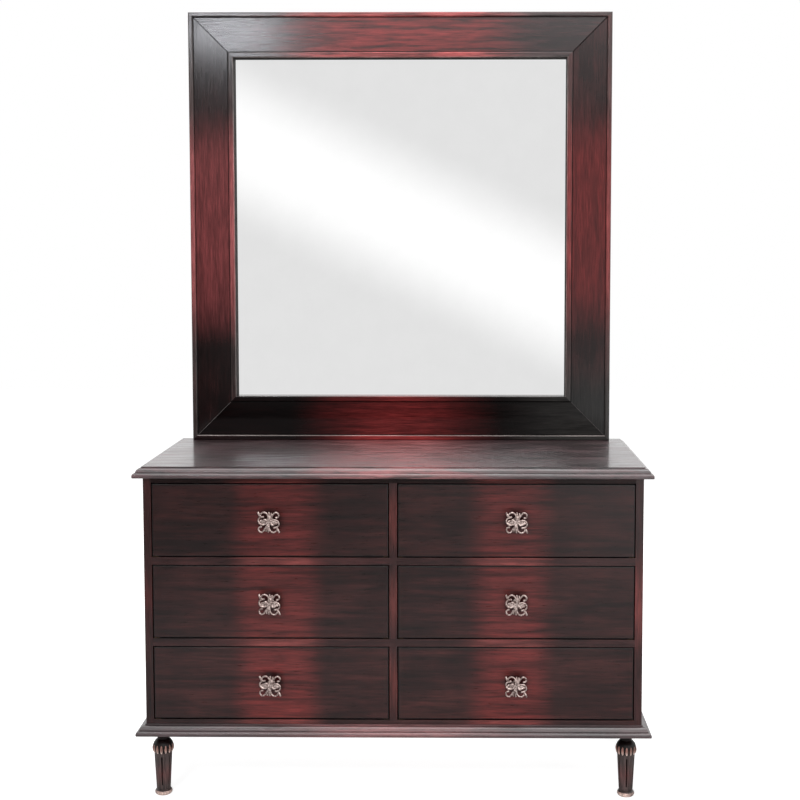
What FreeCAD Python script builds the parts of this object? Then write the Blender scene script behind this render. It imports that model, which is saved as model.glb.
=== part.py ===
"""Six-drawer dresser with a framed mirror standing on its top, in millimetres, +Z up, front towards -Y."""

import FreeCAD
import Part
import Sketcher
import math
import os
import re

Vector = FreeCAD.Vector

# Driving dimensions: every size that can be set by itself, once.
SIZES = {
    # carcass boards
    "carcass_width": 1158,
    "carcass_depth": 450,
    "board_thickness": 18,
    "opening_height": 174,
    "bottom_rail_height": 10.5,
    "top_rail_height": 13.5,
    "rail_depth": 70,
    "back_rail_height": 80,
    "back_panel_thickness": 6,
    "back_rebate_width": 9,
    "tenon_length": 7,
    "tenon_width": 46,
    "tenon_thickness": 8,
    # moulded top and base boards
    "panel_thickness": 25,
    "panel_overhang": 21,
    "edge_fillet_height": 3,
    "moulding_step": 1,
    "upper_round_radius": 10.5,
    "lower_round_radius": 6,
    "lip_under_radius": 2.5,
    # runners, kickers and stops
    "runner_width": 30,
    "stop_width": 40,
    "stop_depth": 14,
    "stop_height": 8,
    "stop_spacing": 300,
    # drawers
    "drawer_gap": 2.2,
    "front_thickness": 18,
    "front_edge_radius": 1.2,
    "front_lip": 7,
    "drawer_back_room": 6,
    "drawer_side_thickness": 12,
    "drawer_side_height": 168,
    "drawer_back_drop": 12,
    "drawer_bottom_thickness": 6,
    "drawer_bottom_lift": 12,
    "drawer_groove_depth": 6,
    # pulls
    "pull_size": 52,
    "pull_plate_thickness": 5,
    "pull_strip_width": 4.2,
    "pull_boss_radius": 6.5,
    "pull_post_radius": 5.5,
    "pull_post_length": 20,
    "pull_foot_radius": 8.5,
    "pull_foot_height": 2.5,
    "pull_screw_radius": 2,
    "pull_screw_grip": 12,
    "pull_screw_head_radius": 4,
    "pull_screw_head_height": 2.6,
    # turned legs
    "leg_height": 154,
    "leg_side_inset": 32,
    "leg_front_inset": 28,
    "leg_back_inset": 40,
    "leg_turn": 16.3,
    "leg_neck_radius": 13,
    "leg_cap_radius": 26.5,
    "leg_cap_centre_height": 110,
    "leg_petal_tip_height": 100,
    "leg_petal_tip_radius": 25,
    "leg_shaft_top_radius": 21,
    "leg_shaft_bottom_radius": 16.2,
    "leg_ring_height": 12.5,
    "leg_ring_radius": 20.3,
    "leg_ring_bottom_radius": 15,
    "leg_ring_curve": 7,
    "leg_petal_count": 14,
    "leg_petal_slit_radius": 1.9,
    "leg_petal_slit_height": 22,
    "leg_petal_slit_lean": -4,
    "leg_flute_count": 6,
    "leg_flute_radius": 2.4,
    "leg_flute_depth": 1.8,
    "leg_flute_margin": 12,
    "leg_bolt_radius": 4,
    "leg_bolt_length": 45,
    "leg_bolt_rise": 19,
    # mirror
    "mirror_inset": 30,
    "mirror_height": 1114,
    "frame_face": 116,
    "frame_thickness": 32,
    "outer_bead_width": 12,
    "outer_bead_radius": 3,
    "inner_bead_width": 14,
    "inner_bead_radius": 2.5,
    "inner_bead_sink": 1,
    "frame_flat_sink": 5,
    "frame_quirk_width": 2,
    "frame_quirk_depth": 1.5,
    "glass_rebate": 10,
    "glass_sink": 22,
    "glass_thickness": 5,
    "glass_room": 1,
    "clip_length": 20,
    "clip_width": 14,
    "clip_thickness": 1.2,
    "clip_spacing": 300,
    # mirror battens
    "batten_width": 70,
    "batten_thickness": 18,
    "batten_length": 850,
    "batten_overlap": 130,
    # wood screws
    "screw_radius": 2.25,
    "screw_head_radius": 4.5,
    "screw_head_height": 3,
    "screw_room": 0.1,
    "base_screw_length": 48,
    "base_screw_inset": 90,
    "top_screw_length": 30,
    "top_screw_spacing": 220,
    "batten_screw_length": 32,
    "batten_screw_spacing": 50,
    "frame_screw_spacing": 200,
}

# Places and lengths worked out from the sizes, each named once.
PLACES = {
    "pull_reach": "pull_post_length + pull_plate_thickness",
    "overall_depth": "pull_reach + carcass_depth + batten_thickness",
    "face_y": "pull_reach - overall_depth / 2",
    "back_y": "face_y + carcass_depth",
    "back_inner_y": "back_y - back_panel_thickness",
    "half_width": "carcass_width / 2",
    "inner_width": "carcass_width - 2 * board_thickness",
    "column_width": "(inner_width - board_thickness) / 2",
    "storey": "opening_height + board_thickness",
    "base_top": "leg_height + panel_thickness",
    "first_opening": "base_top + bottom_rail_height",
    "carcass_height": "bottom_rail_height + 3 * opening_height + 2 * board_thickness + top_rail_height",
    "carcass_top": "base_top + carcass_height",
    "dresser_top": "carcass_top + panel_thickness",
    "runner_y": "face_y + rail_depth",
    "back_rail_y": "back_inner_y - board_thickness",
    "panel_width": "carcass_width + 2 * panel_overhang",
    "moulding_width": "2 * moulding_step + upper_round_radius + lower_round_radius",
    "lip_height": "panel_thickness - edge_fillet_height - upper_round_radius - lower_round_radius"
                  " - lip_under_radius",
    "front_width": "column_width - 2 * drawer_gap",
    "front_height": "opening_height - 2 * drawer_gap",
    "drawer_depth": "carcass_depth - back_panel_thickness - board_thickness - drawer_back_room",
    "drawer_inner_width": "front_width - 2 * drawer_side_thickness",
    "mirror_width": "carcass_width - 2 * mirror_inset",
    "mirror_front_y": "back_y - frame_thickness",
    "mirror_mid_z": "dresser_top + mirror_height / 2",
    "backing_thickness": "frame_thickness - glass_sink - glass_thickness",
    "pane_width": "mirror_width - 2 * (frame_face - glass_rebate) - 2 * glass_room",
    "pane_height": "mirror_height - 2 * (frame_face - glass_rebate) - 2 * glass_room",
    "batten_x": "mirror_width / 2 - frame_face / 2",
    "batten_low": "dresser_top - batten_overlap",
    "batten_back_y": "back_y + batten_thickness",
}

ROWS = ("bottom", "middle", "top")
COLUMNS = ("left", "right")

doc = FreeCAD.newDocument("DresserWithMirror")
nodes = []


def fill_sheet(name, cells):
    """Makes a sheet with one named cell for each entry."""
    sheet = doc.addObject("Spreadsheet::Sheet", name)
    for row, (alias, content) in enumerate(cells.items(), start=1):
        sheet.set(f"A{row}", alias)
        sheet.set(f"B{row}", content)
        sheet.setAlias(f"B{row}", alias)
    doc.recompute()
    return sheet


def with_sheet(formula, names, sheet):
    """Puts the sheet's name before each of its cells in a formula."""
    return re.sub(r"\b[a-z_]\w*", lambda word: f"{sheet}.{word[0]}" if word[0] in names else word[0], formula)


sizes = fill_sheet("Sizes", {name: str(number) for name, number in SIZES.items()})
places = fill_sheet("Places", {name: "=" + with_sheet(text, SIZES, "Sizes") for name, text in PLACES.items()})


def full(formula):
    """A formula in cell names, written with the sheets they live on."""
    return with_sheet(with_sheet(formula, SIZES, "Sizes"), PLACES, "Places")


def number(formula):
    """What a formula comes to now."""
    return float(sizes.evalExpression(full(formula)))


def put(thing, x="0", y="0", z="0"):
    """Binds a thing's place to three formulas."""
    for axis, formula in zip("xyz", (x, y, z)):
        thing.setExpression(f"Placement.Base.{axis}", full(formula))
    return thing


def turned(thing, axis, degrees):
    """Turns a thing about an axis through its own origin."""
    thing.Placement = FreeCAD.Placement(Vector(), FreeCAD.Rotation(axis, degrees))
    return thing


def bound(kind, name, **formulas):
    """A document object whose properties follow formulas."""
    thing = doc.addObject(kind, name)
    for prop, formula in formulas.items():
        thing.setExpression(prop, full(formula))
    return thing


def block(name, size, at=("0", "0", "0")):
    """A board or a cutter with square edges."""
    box = bound("Part::Box", name, Length=size[0], Width=size[1], Height=size[2])
    return put(box, *at)


def rod(name, radius, length, at=("0", "0", "0")):
    """An upright cylinder."""
    return put(bound("Part::Cylinder", name, Radius=radius, Height=length), *at)


def joined(name, pieces):
    """Overlapping shapes made one solid."""
    fuse = doc.addObject("Part::MultiFuse", name)
    fuse.Shapes = pieces
    fuse.Refine = True
    return fuse


def group(name, pieces):
    """Separate solids kept together."""
    kept = doc.addObject("Part::Compound", name)
    kept.Links = pieces
    return kept


def cut(name, base, tools):
    """A base with some tools' shapes taken out of it."""
    result = doc.addObject("Part::Cut", name)
    result.Base = base
    result.Tool = tools[0] if len(tools) == 1 else group(name + "_cuts", tools)
    return result


def node(thing):
    """Marks a thing as one of the pieces that are written out."""
    nodes.append(thing)
    return thing


def opposite(name, source):
    """The same shape on the other side of the middle plane."""
    other = doc.addObject("Part::Mirroring", name)
    other.Source = source
    other.Normal = Vector(1, 0, 0)
    return other


def outline(name, start, segments):
    """A closed sketch of straight runs (dx, dy) and of arcs (dx, dy, radius).

    An arc turns left, or right if its radius is negative. The last segment only closes the outline, so it is drawn but not measured."""
    sketch = doc.addObject("Sketcher::SketchObject", name)
    at = Vector(number(start[0]), number(start[1]), 0)
    first = at
    joints = []
    for index, segment in enumerate(segments):
        to = at + Vector(number(segment[0]), number(segment[1]), 0)
        if index == len(segments) - 1:
            to = first
        if len(segment) == 2:
            joints.append((sketch.addGeometry(Part.LineSegment(at, to)), 1, 2))
        else:
            joints.append(add_arc(sketch, at, to, segment[2]))
        at = to
    for index, (geometry, begin, end) in enumerate(joints):
        following = joints[(index + 1) % len(joints)]
        sketch.addConstraint(Sketcher.Constraint("Coincident", geometry, end, following[0], following[1]))
    measure(sketch, (-1, 1), (joints[0][0], joints[0][1]), start)
    for (geometry, begin, end), segment in zip(joints[:-1], segments[:-1]):
        measure(sketch, (geometry, begin), (geometry, end), segment)
    return sketch


def add_arc(sketch, at, to, radius_formula):
    """Adds an arc of that radius between two points, and says which of its ends come first and last."""
    radius = number(radius_formula)
    half = (to - at) * 0.5
    rise = math.sqrt(max(radius * radius - half.Length ** 2, 0))
    side = Vector(-half.y, half.x, 0).normalize() * math.copysign(rise, radius)
    centre = at + half + side
    begin, end = at - centre, to - centre
    if radius < 0:
        begin, end = end, begin
    circle = Part.Circle(centre, Vector(0, 0, 1), abs(radius))
    arc = Part.ArcOfCircle(circle, math.atan2(begin.y, begin.x), math.atan2(end.y, end.x))
    geometry = sketch.addGeometry(arc)
    limit = sketch.addConstraint(Sketcher.Constraint("Radius", geometry, abs(radius)))
    sketch.setExpression(f"Constraints[{limit}]", full(f"abs({radius_formula})"))
    return (geometry, 1, 2) if radius > 0 else (geometry, 2, 1)


def measure(sketch, one, other, distances):
    """Binds how far one sketch point lies from another, across and up."""
    for kind, formula in zip(("DistanceX", "DistanceY"), distances):
        away = number(formula)
        points = (*one, *other) if away >= 0 else (*other, *one)
        limit = sketch.addConstraint(Sketcher.Constraint(kind, *points, abs(away)))
        sketch.setExpression(f"Constraints[{limit}]", full(formula if away >= 0 else f"-({formula})"))


def extruded(name, sketch, direction, length, symmetric=False):
    """A sketch drawn out to a solid."""
    solid = bound("Part::Extrusion", name, LengthFwd=length)
    solid.Base = sketch
    solid.DirMode = "Custom"
    solid.Dir = direction
    solid.Symmetric = symmetric
    solid.Solid = True
    return solid


def upright(sketch, along):
    """Stands a sketch up, so that it is seen along X or along Y, with its second axis up."""
    if along == "x":
        turn = FreeCAD.Rotation(0.5, 0.5, 0.5, 0.5)
    else:
        turn = FreeCAD.Rotation(Vector(1, 0, 0), 90)
    sketch.Placement = FreeCAD.Placement(Vector(), turn)
    return sketch


# Wood screws: a countersunk head and a shank, with the holes they go in.

def screw(name, length, at, forward=False, room="0"):
    """A countersunk screw that points up, or towards the front, with room round it where it is a hole."""
    head = bound("Part::Cone", name + "_head", Height="screw_head_height")
    head.setExpression("Radius1", full(f"screw_head_radius + {room}"))
    head.setExpression("Radius2", full(f"screw_radius + {room}"))
    shank = rod(name + "_shank", f"screw_radius + {room}", f"{length} + {room}")
    whole = joined(name, [head, shank])
    if forward:
        turned(whole, Vector(1, 0, 0), 90)
    return put(whole, *at)


def screws_and_holes(name, length, spots, forward=False):
    """Screws at some spots, and the cutters for their holes."""
    made = [screw(f"{name}_{i}", length, at, forward) for i, at in enumerate(spots)]
    holes = [screw(f"{name}_hole_{i}", length, at, forward, "screw_room") for i, at in enumerate(spots)]
    return made, group(f"{name}_holes", holes)


def base_screw_spots():
    """Under each side panel and the partition, near the front and the back."""
    middles = ("board_thickness / 2 - half_width", "0", "half_width - board_thickness / 2")
    depths = ("face_y + base_screw_inset", "back_y - base_screw_inset")
    return [(x, y, "leg_height") for x in middles for y in depths]


def top_screw_spots():
    """Under each kicker strip, two in a row."""
    beside = "board_thickness / 2 + runner_width / 2"
    outer = "half_width - board_thickness - runner_width / 2"
    middle = "(runner_y + back_rail_y) / 2"
    return [
        (x, f"{middle} {sign} top_screw_spacing / 2", "carcass_top - top_rail_height")
        for x in (f"-({outer})", f"-({beside})", beside, outer)
        for sign in "-+"
    ]


def batten_screw_spots(side):
    """Two spots in the back rail and three in a mirror stile, on one side."""
    x = f"{side} * batten_x"
    low = [f"carcass_top - back_rail_height / 2 {sign} batten_screw_spacing / 2" for sign in "-+"]
    high = [f"dresser_top + frame_face + {step} * frame_screw_spacing" for step in range(3)]
    return [(x, "batten_back_y", z) for z in low + high]


base_screws, base_screw_holes = screws_and_holes("base_screw", "base_screw_length", base_screw_spots())
top_screws, top_screw_holes = screws_and_holes("top_screw", "top_screw_length", top_screw_spots())
batten_screws, batten_screw_holes = screws_and_holes(
    "batten_screw", "batten_screw_length", batten_screw_spots("-1") + batten_screw_spots("1"), forward=True)


# The moulded top and base boards: a round over a step over a round lip, on the front and both ends.

def moulding_down():
    """The moulding's segments from the flat's left edge down to the underside, outwards to the left."""
    return [
        ("0", "-edge_fillet_height"),
        ("-moulding_step", "0"),
        ("-upper_round_radius", "-upper_round_radius", "upper_round_radius"),
        ("-moulding_step", "0"),
        ("-lower_round_radius", "-lower_round_radius", "lower_round_radius"),
        ("0", "-lip_height"),
        ("lip_under_radius", "-lip_under_radius", "lip_under_radius"),
    ]


def moulding_up():
    """The same segments from the underside up to the flat's right edge."""
    return [(step[0], f"-({step[1]})", *step[2:]) for step in reversed(moulding_down())]


def moulded_board(name, z, holes):
    """A board with the moulding on its front and ends, standing out past the carcass."""
    flat = "panel_width - 2 * moulding_width"
    ends = upright(outline(
        name + "_end_profile",
        ("-moulding_width - (panel_width - 2 * moulding_width) / 2 + lip_under_radius", "0"),
        [("panel_width - 2 * lip_under_radius", "0"), *moulding_up(), (f"-({flat})", "0"), *moulding_down()],
    ), "y")
    front = upright(outline(
        name + "_front_profile",
        ("-panel_overhang + lip_under_radius", "0"),
        [
            ("carcass_depth + panel_overhang - lip_under_radius", "0"),
            ("0", "panel_thickness"),
            ("-(carcass_depth + panel_overhang - moulding_width)", "0"),
            *moulding_down(),
        ],
    ), "x")
    lengthwise = put(
        extruded(name + "_along_depth", ends, Vector(0, 1, 0), "carcass_depth + panel_overhang"),
        y="-panel_overhang")
    crosswise = extruded(name + "_along_width", front, Vector(1, 0, 0), "panel_width", symmetric=True)
    blank = doc.addObject("Part::Common", name + "_blank")
    blank.Base = lengthwise
    blank.Tool = crosswise
    put(blank, "0", "face_y", z)
    return node(cut(name, blank, holes))


# Turned legs: ring foot, tapered fluted shaft, cap with a skirt of petals, neck and hanger bolt.

def leg_spots():
    """Where the four legs stand, by name."""
    return {
        f"{end}_{side}": (f"{sign} * (half_width - leg_side_inset)", y)
        for end, y in (("front", "face_y + leg_front_inset"), ("back", "back_y - leg_back_inset"))
        for side, sign in zip(COLUMNS, ("-1", "1"))
    }


def leg_blank():
    """The leg as it leaves the lathe."""
    half_ring = "leg_ring_height / 2"
    profile = upright(outline("leg_profile", ("0", "0"), [
        ("leg_ring_bottom_radius", "0"),
        ("leg_ring_radius - leg_ring_bottom_radius", half_ring, "leg_ring_curve"),
        ("leg_shaft_bottom_radius - leg_ring_radius", half_ring, "leg_ring_curve"),
        ("leg_shaft_top_radius - leg_shaft_bottom_radius", "leg_petal_tip_height - leg_ring_height"),
        ("leg_petal_tip_radius - leg_shaft_top_radius", "0"),
        ("leg_cap_radius - leg_petal_tip_radius", "leg_cap_centre_height - leg_petal_tip_height"),
        ("leg_neck_radius - leg_cap_radius", "sqrt(leg_cap_radius ^ 2 - leg_neck_radius ^ 2)",
         "leg_cap_radius"),
        ("0", "leg_height - leg_cap_centre_height - sqrt(leg_cap_radius ^ 2 - leg_neck_radius ^ 2)"),
        ("-leg_neck_radius", "0"),
        ("0", "-leg_height"),
    ]), "y")
    turning = doc.addObject("Part::Revolution", "leg_turning")
    turning.Source = profile
    turning.Axis = Vector(0, 0, 1)
    turning.Angle = 360
    turning.Solid = True
    return turning


def leg_grooves(name, count, radius, length, low, out, lean):
    """Round-bottomed grooves spaced evenly round the leg, leaning out with its surface."""
    made = []
    for i in range(int(number(count))):
        turn = 2 * math.pi * i / number(count)
        cutter = bound("Part::Cylinder", f"{name}_{i}", Radius=radius, Height=length)
        across = Vector(-math.sin(turn), math.cos(turn), 0)
        turned(cutter, across, lean)
        made.append(put(cutter, f"({out}) * {math.cos(turn):.9f}", f"({out}) * {math.sin(turn):.9f}", low))
    return made


def leg_lean():
    """The shaft's taper, in degrees."""
    run = number("leg_shaft_top_radius - leg_shaft_bottom_radius")
    return math.degrees(math.atan2(run, number("leg_petal_tip_height - leg_ring_height")))


def build_legs():
    """The four legs, one turning placed four times, and the bolts that hold them."""
    flute_low = "leg_ring_height + leg_flute_margin"
    flute_out = (
        "leg_shaft_bottom_radius + leg_flute_radius - leg_flute_depth + leg_flute_margin"
        " * (leg_shaft_top_radius - leg_shaft_bottom_radius) / (leg_petal_tip_height - leg_ring_height)"
    )
    flutes = leg_grooves(
        "leg_flute", "leg_flute_count", "leg_flute_radius",
        "leg_petal_tip_height - leg_ring_height - 2 * leg_flute_margin", flute_low, flute_out, leg_lean())
    slits = leg_grooves(
        "leg_petal_slit", "leg_petal_count", "leg_petal_slit_radius", "leg_petal_slit_height",
        "leg_petal_tip_height - leg_petal_slit_radius", "leg_petal_tip_radius + leg_petal_slit_radius / 2",
        number("leg_petal_slit_lean"))
    socket = rod("leg_bolt_socket", "leg_bolt_radius + screw_room", "leg_bolt_length",
                 ("0", "0", "leg_height + leg_bolt_rise - leg_bolt_length - screw_room"))
    turned_leg = cut("leg_turned", leg_blank(), [*flutes, *slits, socket])
    for spot, (x, y) in leg_spots().items():
        turn = number("leg_turn") if spot.endswith("left") else -number("leg_turn")
        node(put(turned(group(f"leg_{spot}", [turned_leg]), Vector(0, 0, 1), turn), x, y))
    bolt_low = "leg_height + leg_bolt_rise - leg_bolt_length"
    bolts = [
        rod(f"leg_bolt_{spot}", "leg_bolt_radius", "leg_bolt_length", (x, y, bolt_low))
        for spot, (x, y) in leg_spots().items()
    ]
    node(group("leg_bolts", bolts))


def leg_bolt_holes():
    """The holes in the base board that the bolts go up into."""
    return group("leg_bolt_holes", [
        rod(f"leg_bolt_hole_{spot}", "leg_bolt_radius + screw_room", "leg_bolt_rise + screw_room",
            (x, y, "leg_height"))
        for spot, (x, y) in leg_spots().items()
    ])


# The carcass: side panels, partition, rails, back, runners, kickers and stops.

def rail_level(storey):
    """How high the rail above a row of drawers lies, with rows counted from the bottom."""
    return f"first_opening + {storey} * storey + opening_height"


def build_sides():
    """The two side panels, rebated for the back and mortised for the rails."""
    inner = "board_thickness - half_width"
    blank = block("side_blank", ("board_thickness", "carcass_depth", "carcass_height"),
                  ("-half_width", "face_y", "base_top"))
    rebate = block("side_rebate", ("back_rebate_width", "back_panel_thickness", "carcass_height"),
                   (f"{inner} - back_rebate_width", "back_inner_y", "base_top"))
    mortises = [
        block(f"side_mortise_{i}", ("tenon_length", "tenon_width", "tenon_thickness"),
              (f"{inner} - tenon_length", "face_y + (rail_depth - tenon_width) / 2",
               f"{rail_level(i)} + (board_thickness - tenon_thickness) / 2"))
        for i in range(2)
    ]
    left = node(cut("left_side_panel", blank, [rebate, *mortises, base_screw_holes]))
    node(opposite("right_side_panel", left))


def build_rails():
    """Front rails right across the carcass, lapped with the partition, and the rail at the back."""
    start = "board_thickness - half_width"
    for i, name in enumerate(("lower_rail", "upper_rail")):
        z = rail_level(i)
        bar = block(name + "_bar", ("inner_width", "rail_depth", "board_thickness"), (start, "face_y", z))
        tongue = block(name + "_tongue", ("inner_width + 2 * tenon_length", "tenon_width", "tenon_thickness"),
                       (f"{start} - tenon_length", "face_y + (rail_depth - tenon_width) / 2",
                        f"{z} + (board_thickness - tenon_thickness) / 2"))
        lap = block(name + "_lap", ("board_thickness", "rail_depth / 2", "board_thickness"),
                    ("-board_thickness / 2", "face_y + rail_depth / 2", z))
        node(cut(name, joined(name + "_blank", [bar, tongue]), [lap]))
    node(block("bottom_rail", ("inner_width", "rail_depth", "bottom_rail_height"),
               (start, "face_y", "base_top")))
    node(block("top_rail", ("inner_width", "rail_depth", "top_rail_height"),
               (start, "face_y", "carcass_top - top_rail_height")))
    back = block("back_rail_blank", ("inner_width", "board_thickness", "back_rail_height"),
                 (start, "back_rail_y", "carcass_top - back_rail_height"))
    node(cut("back_rail", back, [batten_screw_holes]))


def build_partition():
    """The upright between the two columns, notched round the rails."""
    x = "-board_thickness / 2"
    blank = block("partition_blank",
                  ("board_thickness", "carcass_depth - back_panel_thickness", "carcass_height"),
                  (x, "face_y", "base_top"))
    notches = [
        block("partition_bottom_notch", ("board_thickness", "rail_depth", "bottom_rail_height"),
              (x, "face_y", "base_top")),
        block("partition_top_notch", ("board_thickness", "rail_depth", "top_rail_height"),
              (x, "face_y", "carcass_top - top_rail_height")),
        block("partition_back_notch", ("board_thickness", "board_thickness", "back_rail_height"),
              (x, "back_rail_y", "carcass_top - back_rail_height")),
    ]
    laps = [
        block(f"partition_lap_{i}", ("board_thickness", "rail_depth / 2", "board_thickness"),
              (x, "face_y", rail_level(i)))
        for i in range(2)
    ]
    node(cut("centre_partition", blank, [*notches, *laps, base_screw_holes]))


def build_back():
    """The thin back panel in the side panels' rebates."""
    blank = block("back_blank",
                  ("inner_width + 2 * back_rebate_width", "back_panel_thickness", "carcass_height"),
                  ("-inner_width / 2 - back_rebate_width", "back_inner_y", "base_top"))
    node(cut("back_panel", blank, [batten_screw_holes]))


def strip_starts():
    """The left edges of the four strips that flank the two columns."""
    return (
        "board_thickness - half_width",
        "-board_thickness / 2 - runner_width",
        "board_thickness / 2",
        "half_width - board_thickness - runner_width",
    )


def build_runners():
    """Wooden strips that the drawer sides slide on, level with the rails, and the kickers over the top row."""
    runners = []
    for storey in range(3):
        thickness = "bottom_rail_height" if storey == 0 else "board_thickness"
        z = "base_top" if storey == 0 else rail_level(storey - 1)
        for i, x in enumerate(strip_starts()):
            size = ("runner_width", "back_inner_y - runner_y", thickness)
            runners.append(block(f"runner_{storey}_{i}", size, (x, "runner_y", z)))
    node(group("drawer_runners", runners))
    kickers = [
        block(f"kicker_{i}", ("runner_width", "back_rail_y - runner_y", "top_rail_height"),
              (x, "runner_y", "carcass_top - top_rail_height"))
        for i, x in enumerate(strip_starts())
    ]
    node(cut("drawer_kickers", group("kicker_strips", kickers), [top_screw_holes]))


def column_start(column):
    """The left edge of a column of drawers."""
    return "board_thickness - half_width" if column == "left" else "board_thickness / 2"


def opening_floor(row):
    """How high a row's openings start."""
    return f"first_opening + {ROWS.index(row)} * storey"


def build_stops():
    """Blocks on the rails that the drawer fronts close against."""
    stops = [
        block(f"stop_{row}_{column}_{i}", ("stop_width", "stop_depth", "stop_height"),
              (f"{column_start(column)} + column_width / 2 {sign} stop_spacing / 2 - stop_width / 2",
               "face_y + front_thickness", opening_floor(row)))
        for row in ROWS for column in COLUMNS for i, sign in enumerate("-+")
    ]
    node(group("drawer_stops", stops))


# Drawers, drawn once from the lower left front corner of an opening and placed six times.

def rounded_front(blank):
    """A drawer front with its four front edges eased."""
    doc.recompute()
    front = min(vertex.Y for vertex in blank.Shape.Vertexes)
    edges = [
        i for i, edge in enumerate(blank.Shape.Edges, start=1)
        if all(abs(vertex.Y - front) < 1e-6 for vertex in edge.Vertexes)
    ]
    eased = doc.addObject("Part::Fillet", "drawer_front_eased")
    eased.Base = blank
    radius = number("front_edge_radius")
    eased.Edges = [(i, radius, radius) for i in edges]
    return eased


def drawer_front():
    """The front, rebated for the sides, grooved for the bottom and bored for the pull's screw."""
    blank = block("drawer_front_blank", ("front_width", "front_thickness", "front_height"),
                  ("drawer_gap", "0", "drawer_gap"))
    lap = ("drawer_side_thickness", "front_thickness - front_lip", "front_height")
    rebates = [
        block(f"drawer_front_rebate_{side}", lap, (x, "front_lip", "drawer_gap"))
        for side, x in (("left", "drawer_gap"), ("right", "column_width - drawer_gap - drawer_side_thickness"))
    ]
    groove = block("drawer_front_groove",
                   ("drawer_inner_width", "drawer_groove_depth", "drawer_bottom_thickness"),
                   ("drawer_gap + drawer_side_thickness", "front_thickness - drawer_groove_depth",
                    "drawer_bottom_lift"))
    bore = rod("drawer_front_bore", "pull_screw_radius + screw_room", "front_thickness")
    turned(bore, Vector(1, 0, 0), -90)
    put(bore, "column_width / 2", "0", "opening_height / 2")
    return cut("drawer_front", rounded_front(blank), [*rebates, groove, bore])


def drawer_side():
    """The left side, grooved for the bottom."""
    size = ("drawer_side_thickness", "drawer_depth - front_lip", "drawer_side_height")
    blank = block("drawer_side_blank", size, ("drawer_gap", "front_lip", "0"))
    groove = block("drawer_side_groove",
                   ("drawer_groove_depth", "drawer_depth - front_lip", "drawer_bottom_thickness"),
                   ("drawer_gap + drawer_side_thickness - drawer_groove_depth", "front_lip",
                    "drawer_bottom_lift"))
    return cut("drawer_side_left", blank, [groove])


def drawer_pieces():
    """The pieces of one drawer, by name."""
    left = drawer_side()
    right = put(opposite("drawer_side_mirrored", left), "column_width")
    back = block("drawer_back",
                 ("drawer_inner_width", "drawer_side_thickness",
                  "drawer_side_height - drawer_bottom_lift - drawer_bottom_thickness - drawer_back_drop"),
                 ("drawer_gap + drawer_side_thickness", "drawer_depth - drawer_side_thickness",
                  "drawer_bottom_lift + drawer_bottom_thickness"))
    bottom = block("drawer_bottom",
                   ("drawer_inner_width + 2 * drawer_groove_depth",
                    "drawer_depth - front_thickness + drawer_groove_depth", "drawer_bottom_thickness"),
                   ("drawer_gap + drawer_side_thickness - drawer_groove_depth",
                    "front_thickness - drawer_groove_depth", "drawer_bottom_lift"))
    return {"front": [drawer_front()], "sides": [left, right], "back": [back], "bottom": [bottom]}


# The pull: an openwork square of scrolls on a post, held by a screw from inside the drawer.
# The strips' middle lines are in shares of half the pull's size.
# The other half of the pull is the same, turned half round.
SCROLLS = (
    # large scroll towards the upper left corner
    ((-0.04, 0.16), (-0.10, 0.60), (-0.37, 0.88), (-0.62, 0.81), (-0.74, 0.62), (-0.67, 0.49), (-0.52, 0.48)),
    # leaf at the corner
    ((-0.76, 0.60), (-0.81, 0.75), (-0.90, 0.90)),
    # round volute at the left
    ((-0.74, 0.50), (-0.91, 0.15), (-0.66, -0.15), (-0.38, -0.11), (-0.08, 0.10)),
    # the volute's curl
    ((-0.52, 0.48), (-0.42, 0.26), (-0.54, 0.08), (-0.65, 0.05), (-0.71, 0.15)),
    # hook towards the lower left corner
    ((-0.66, -0.40), (-0.90, -0.58), (-0.72, -0.84), (-0.48, -0.72), (-0.30, -0.42)),
    # two leaf stems towards the lower edge
    ((-0.10, -0.05), (-0.24, -0.45), (-0.30, -0.88)),
    ((0.0, -0.10), (-0.10, -0.52), (0.0, -0.90)),
    # the hook's stem
    ((-0.30, -0.42), (-0.22, -0.26), (-0.06, -0.06)),
)


def scroll_strip(points):
    """One strip of even width with round ends, along three-point arcs."""
    half = number("pull_size / 2")
    spots = [Vector(across * half, 0, up * half) for across, up in points]
    arcs = [Part.Arc(*spots[i:i + 3]).toShape() for i in range(0, len(spots) - 2, 2)]
    border = Part.Wire(arcs).makeOffset2D(number("pull_strip_width / 2"), 0, False, False)
    return Part.Face(border).extrude(Vector(0, number("pull_plate_thickness"), 0))


def scroll_plate():
    """All the strips and the boss at their middle, as one casting."""
    strips = [scroll_strip(points) for points in SCROLLS]
    strips += [strip.rotated(Vector(), Vector(0, 1, 0), 180) for strip in strips]
    thickness = number("pull_plate_thickness")
    boss = Part.makeCylinder(number("pull_boss_radius"), thickness, Vector(), Vector(0, 1, 0))
    plate = doc.addObject("Part::Feature", "pull_plate")
    plate.Shape = boss.fuse(strips).removeSplitter()
    plate.Placement = FreeCAD.Placement(Vector(0, -number("pull_reach"), 0), FreeCAD.Rotation())
    return plate


def pull_pieces():
    """The plate, post and screw of one pull, with the drawer front's face at zero."""
    post = joined("pull_post_blank", [
        rod("pull_stem", "pull_post_radius", "pull_post_length"),
        rod("pull_foot", "pull_foot_radius", "pull_foot_height"),
    ])
    thread = rod("pull_thread", "pull_screw_radius + screw_room", "pull_screw_grip + screw_room")
    drilled = turned(cut("pull_post", post, [thread]), Vector(1, 0, 0), 90)
    fixing = joined("pull_screw", [
        rod("pull_screw_shank", "pull_screw_radius", "pull_screw_grip + front_thickness"),
        rod("pull_screw_head", "pull_screw_head_radius", "pull_screw_head_height",
            ("0", "0", "-pull_screw_head_height")),
    ])
    put(turned(fixing, Vector(1, 0, 0), 90), "0", "front_thickness", "0")
    return [scroll_plate(), drilled, fixing]


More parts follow.
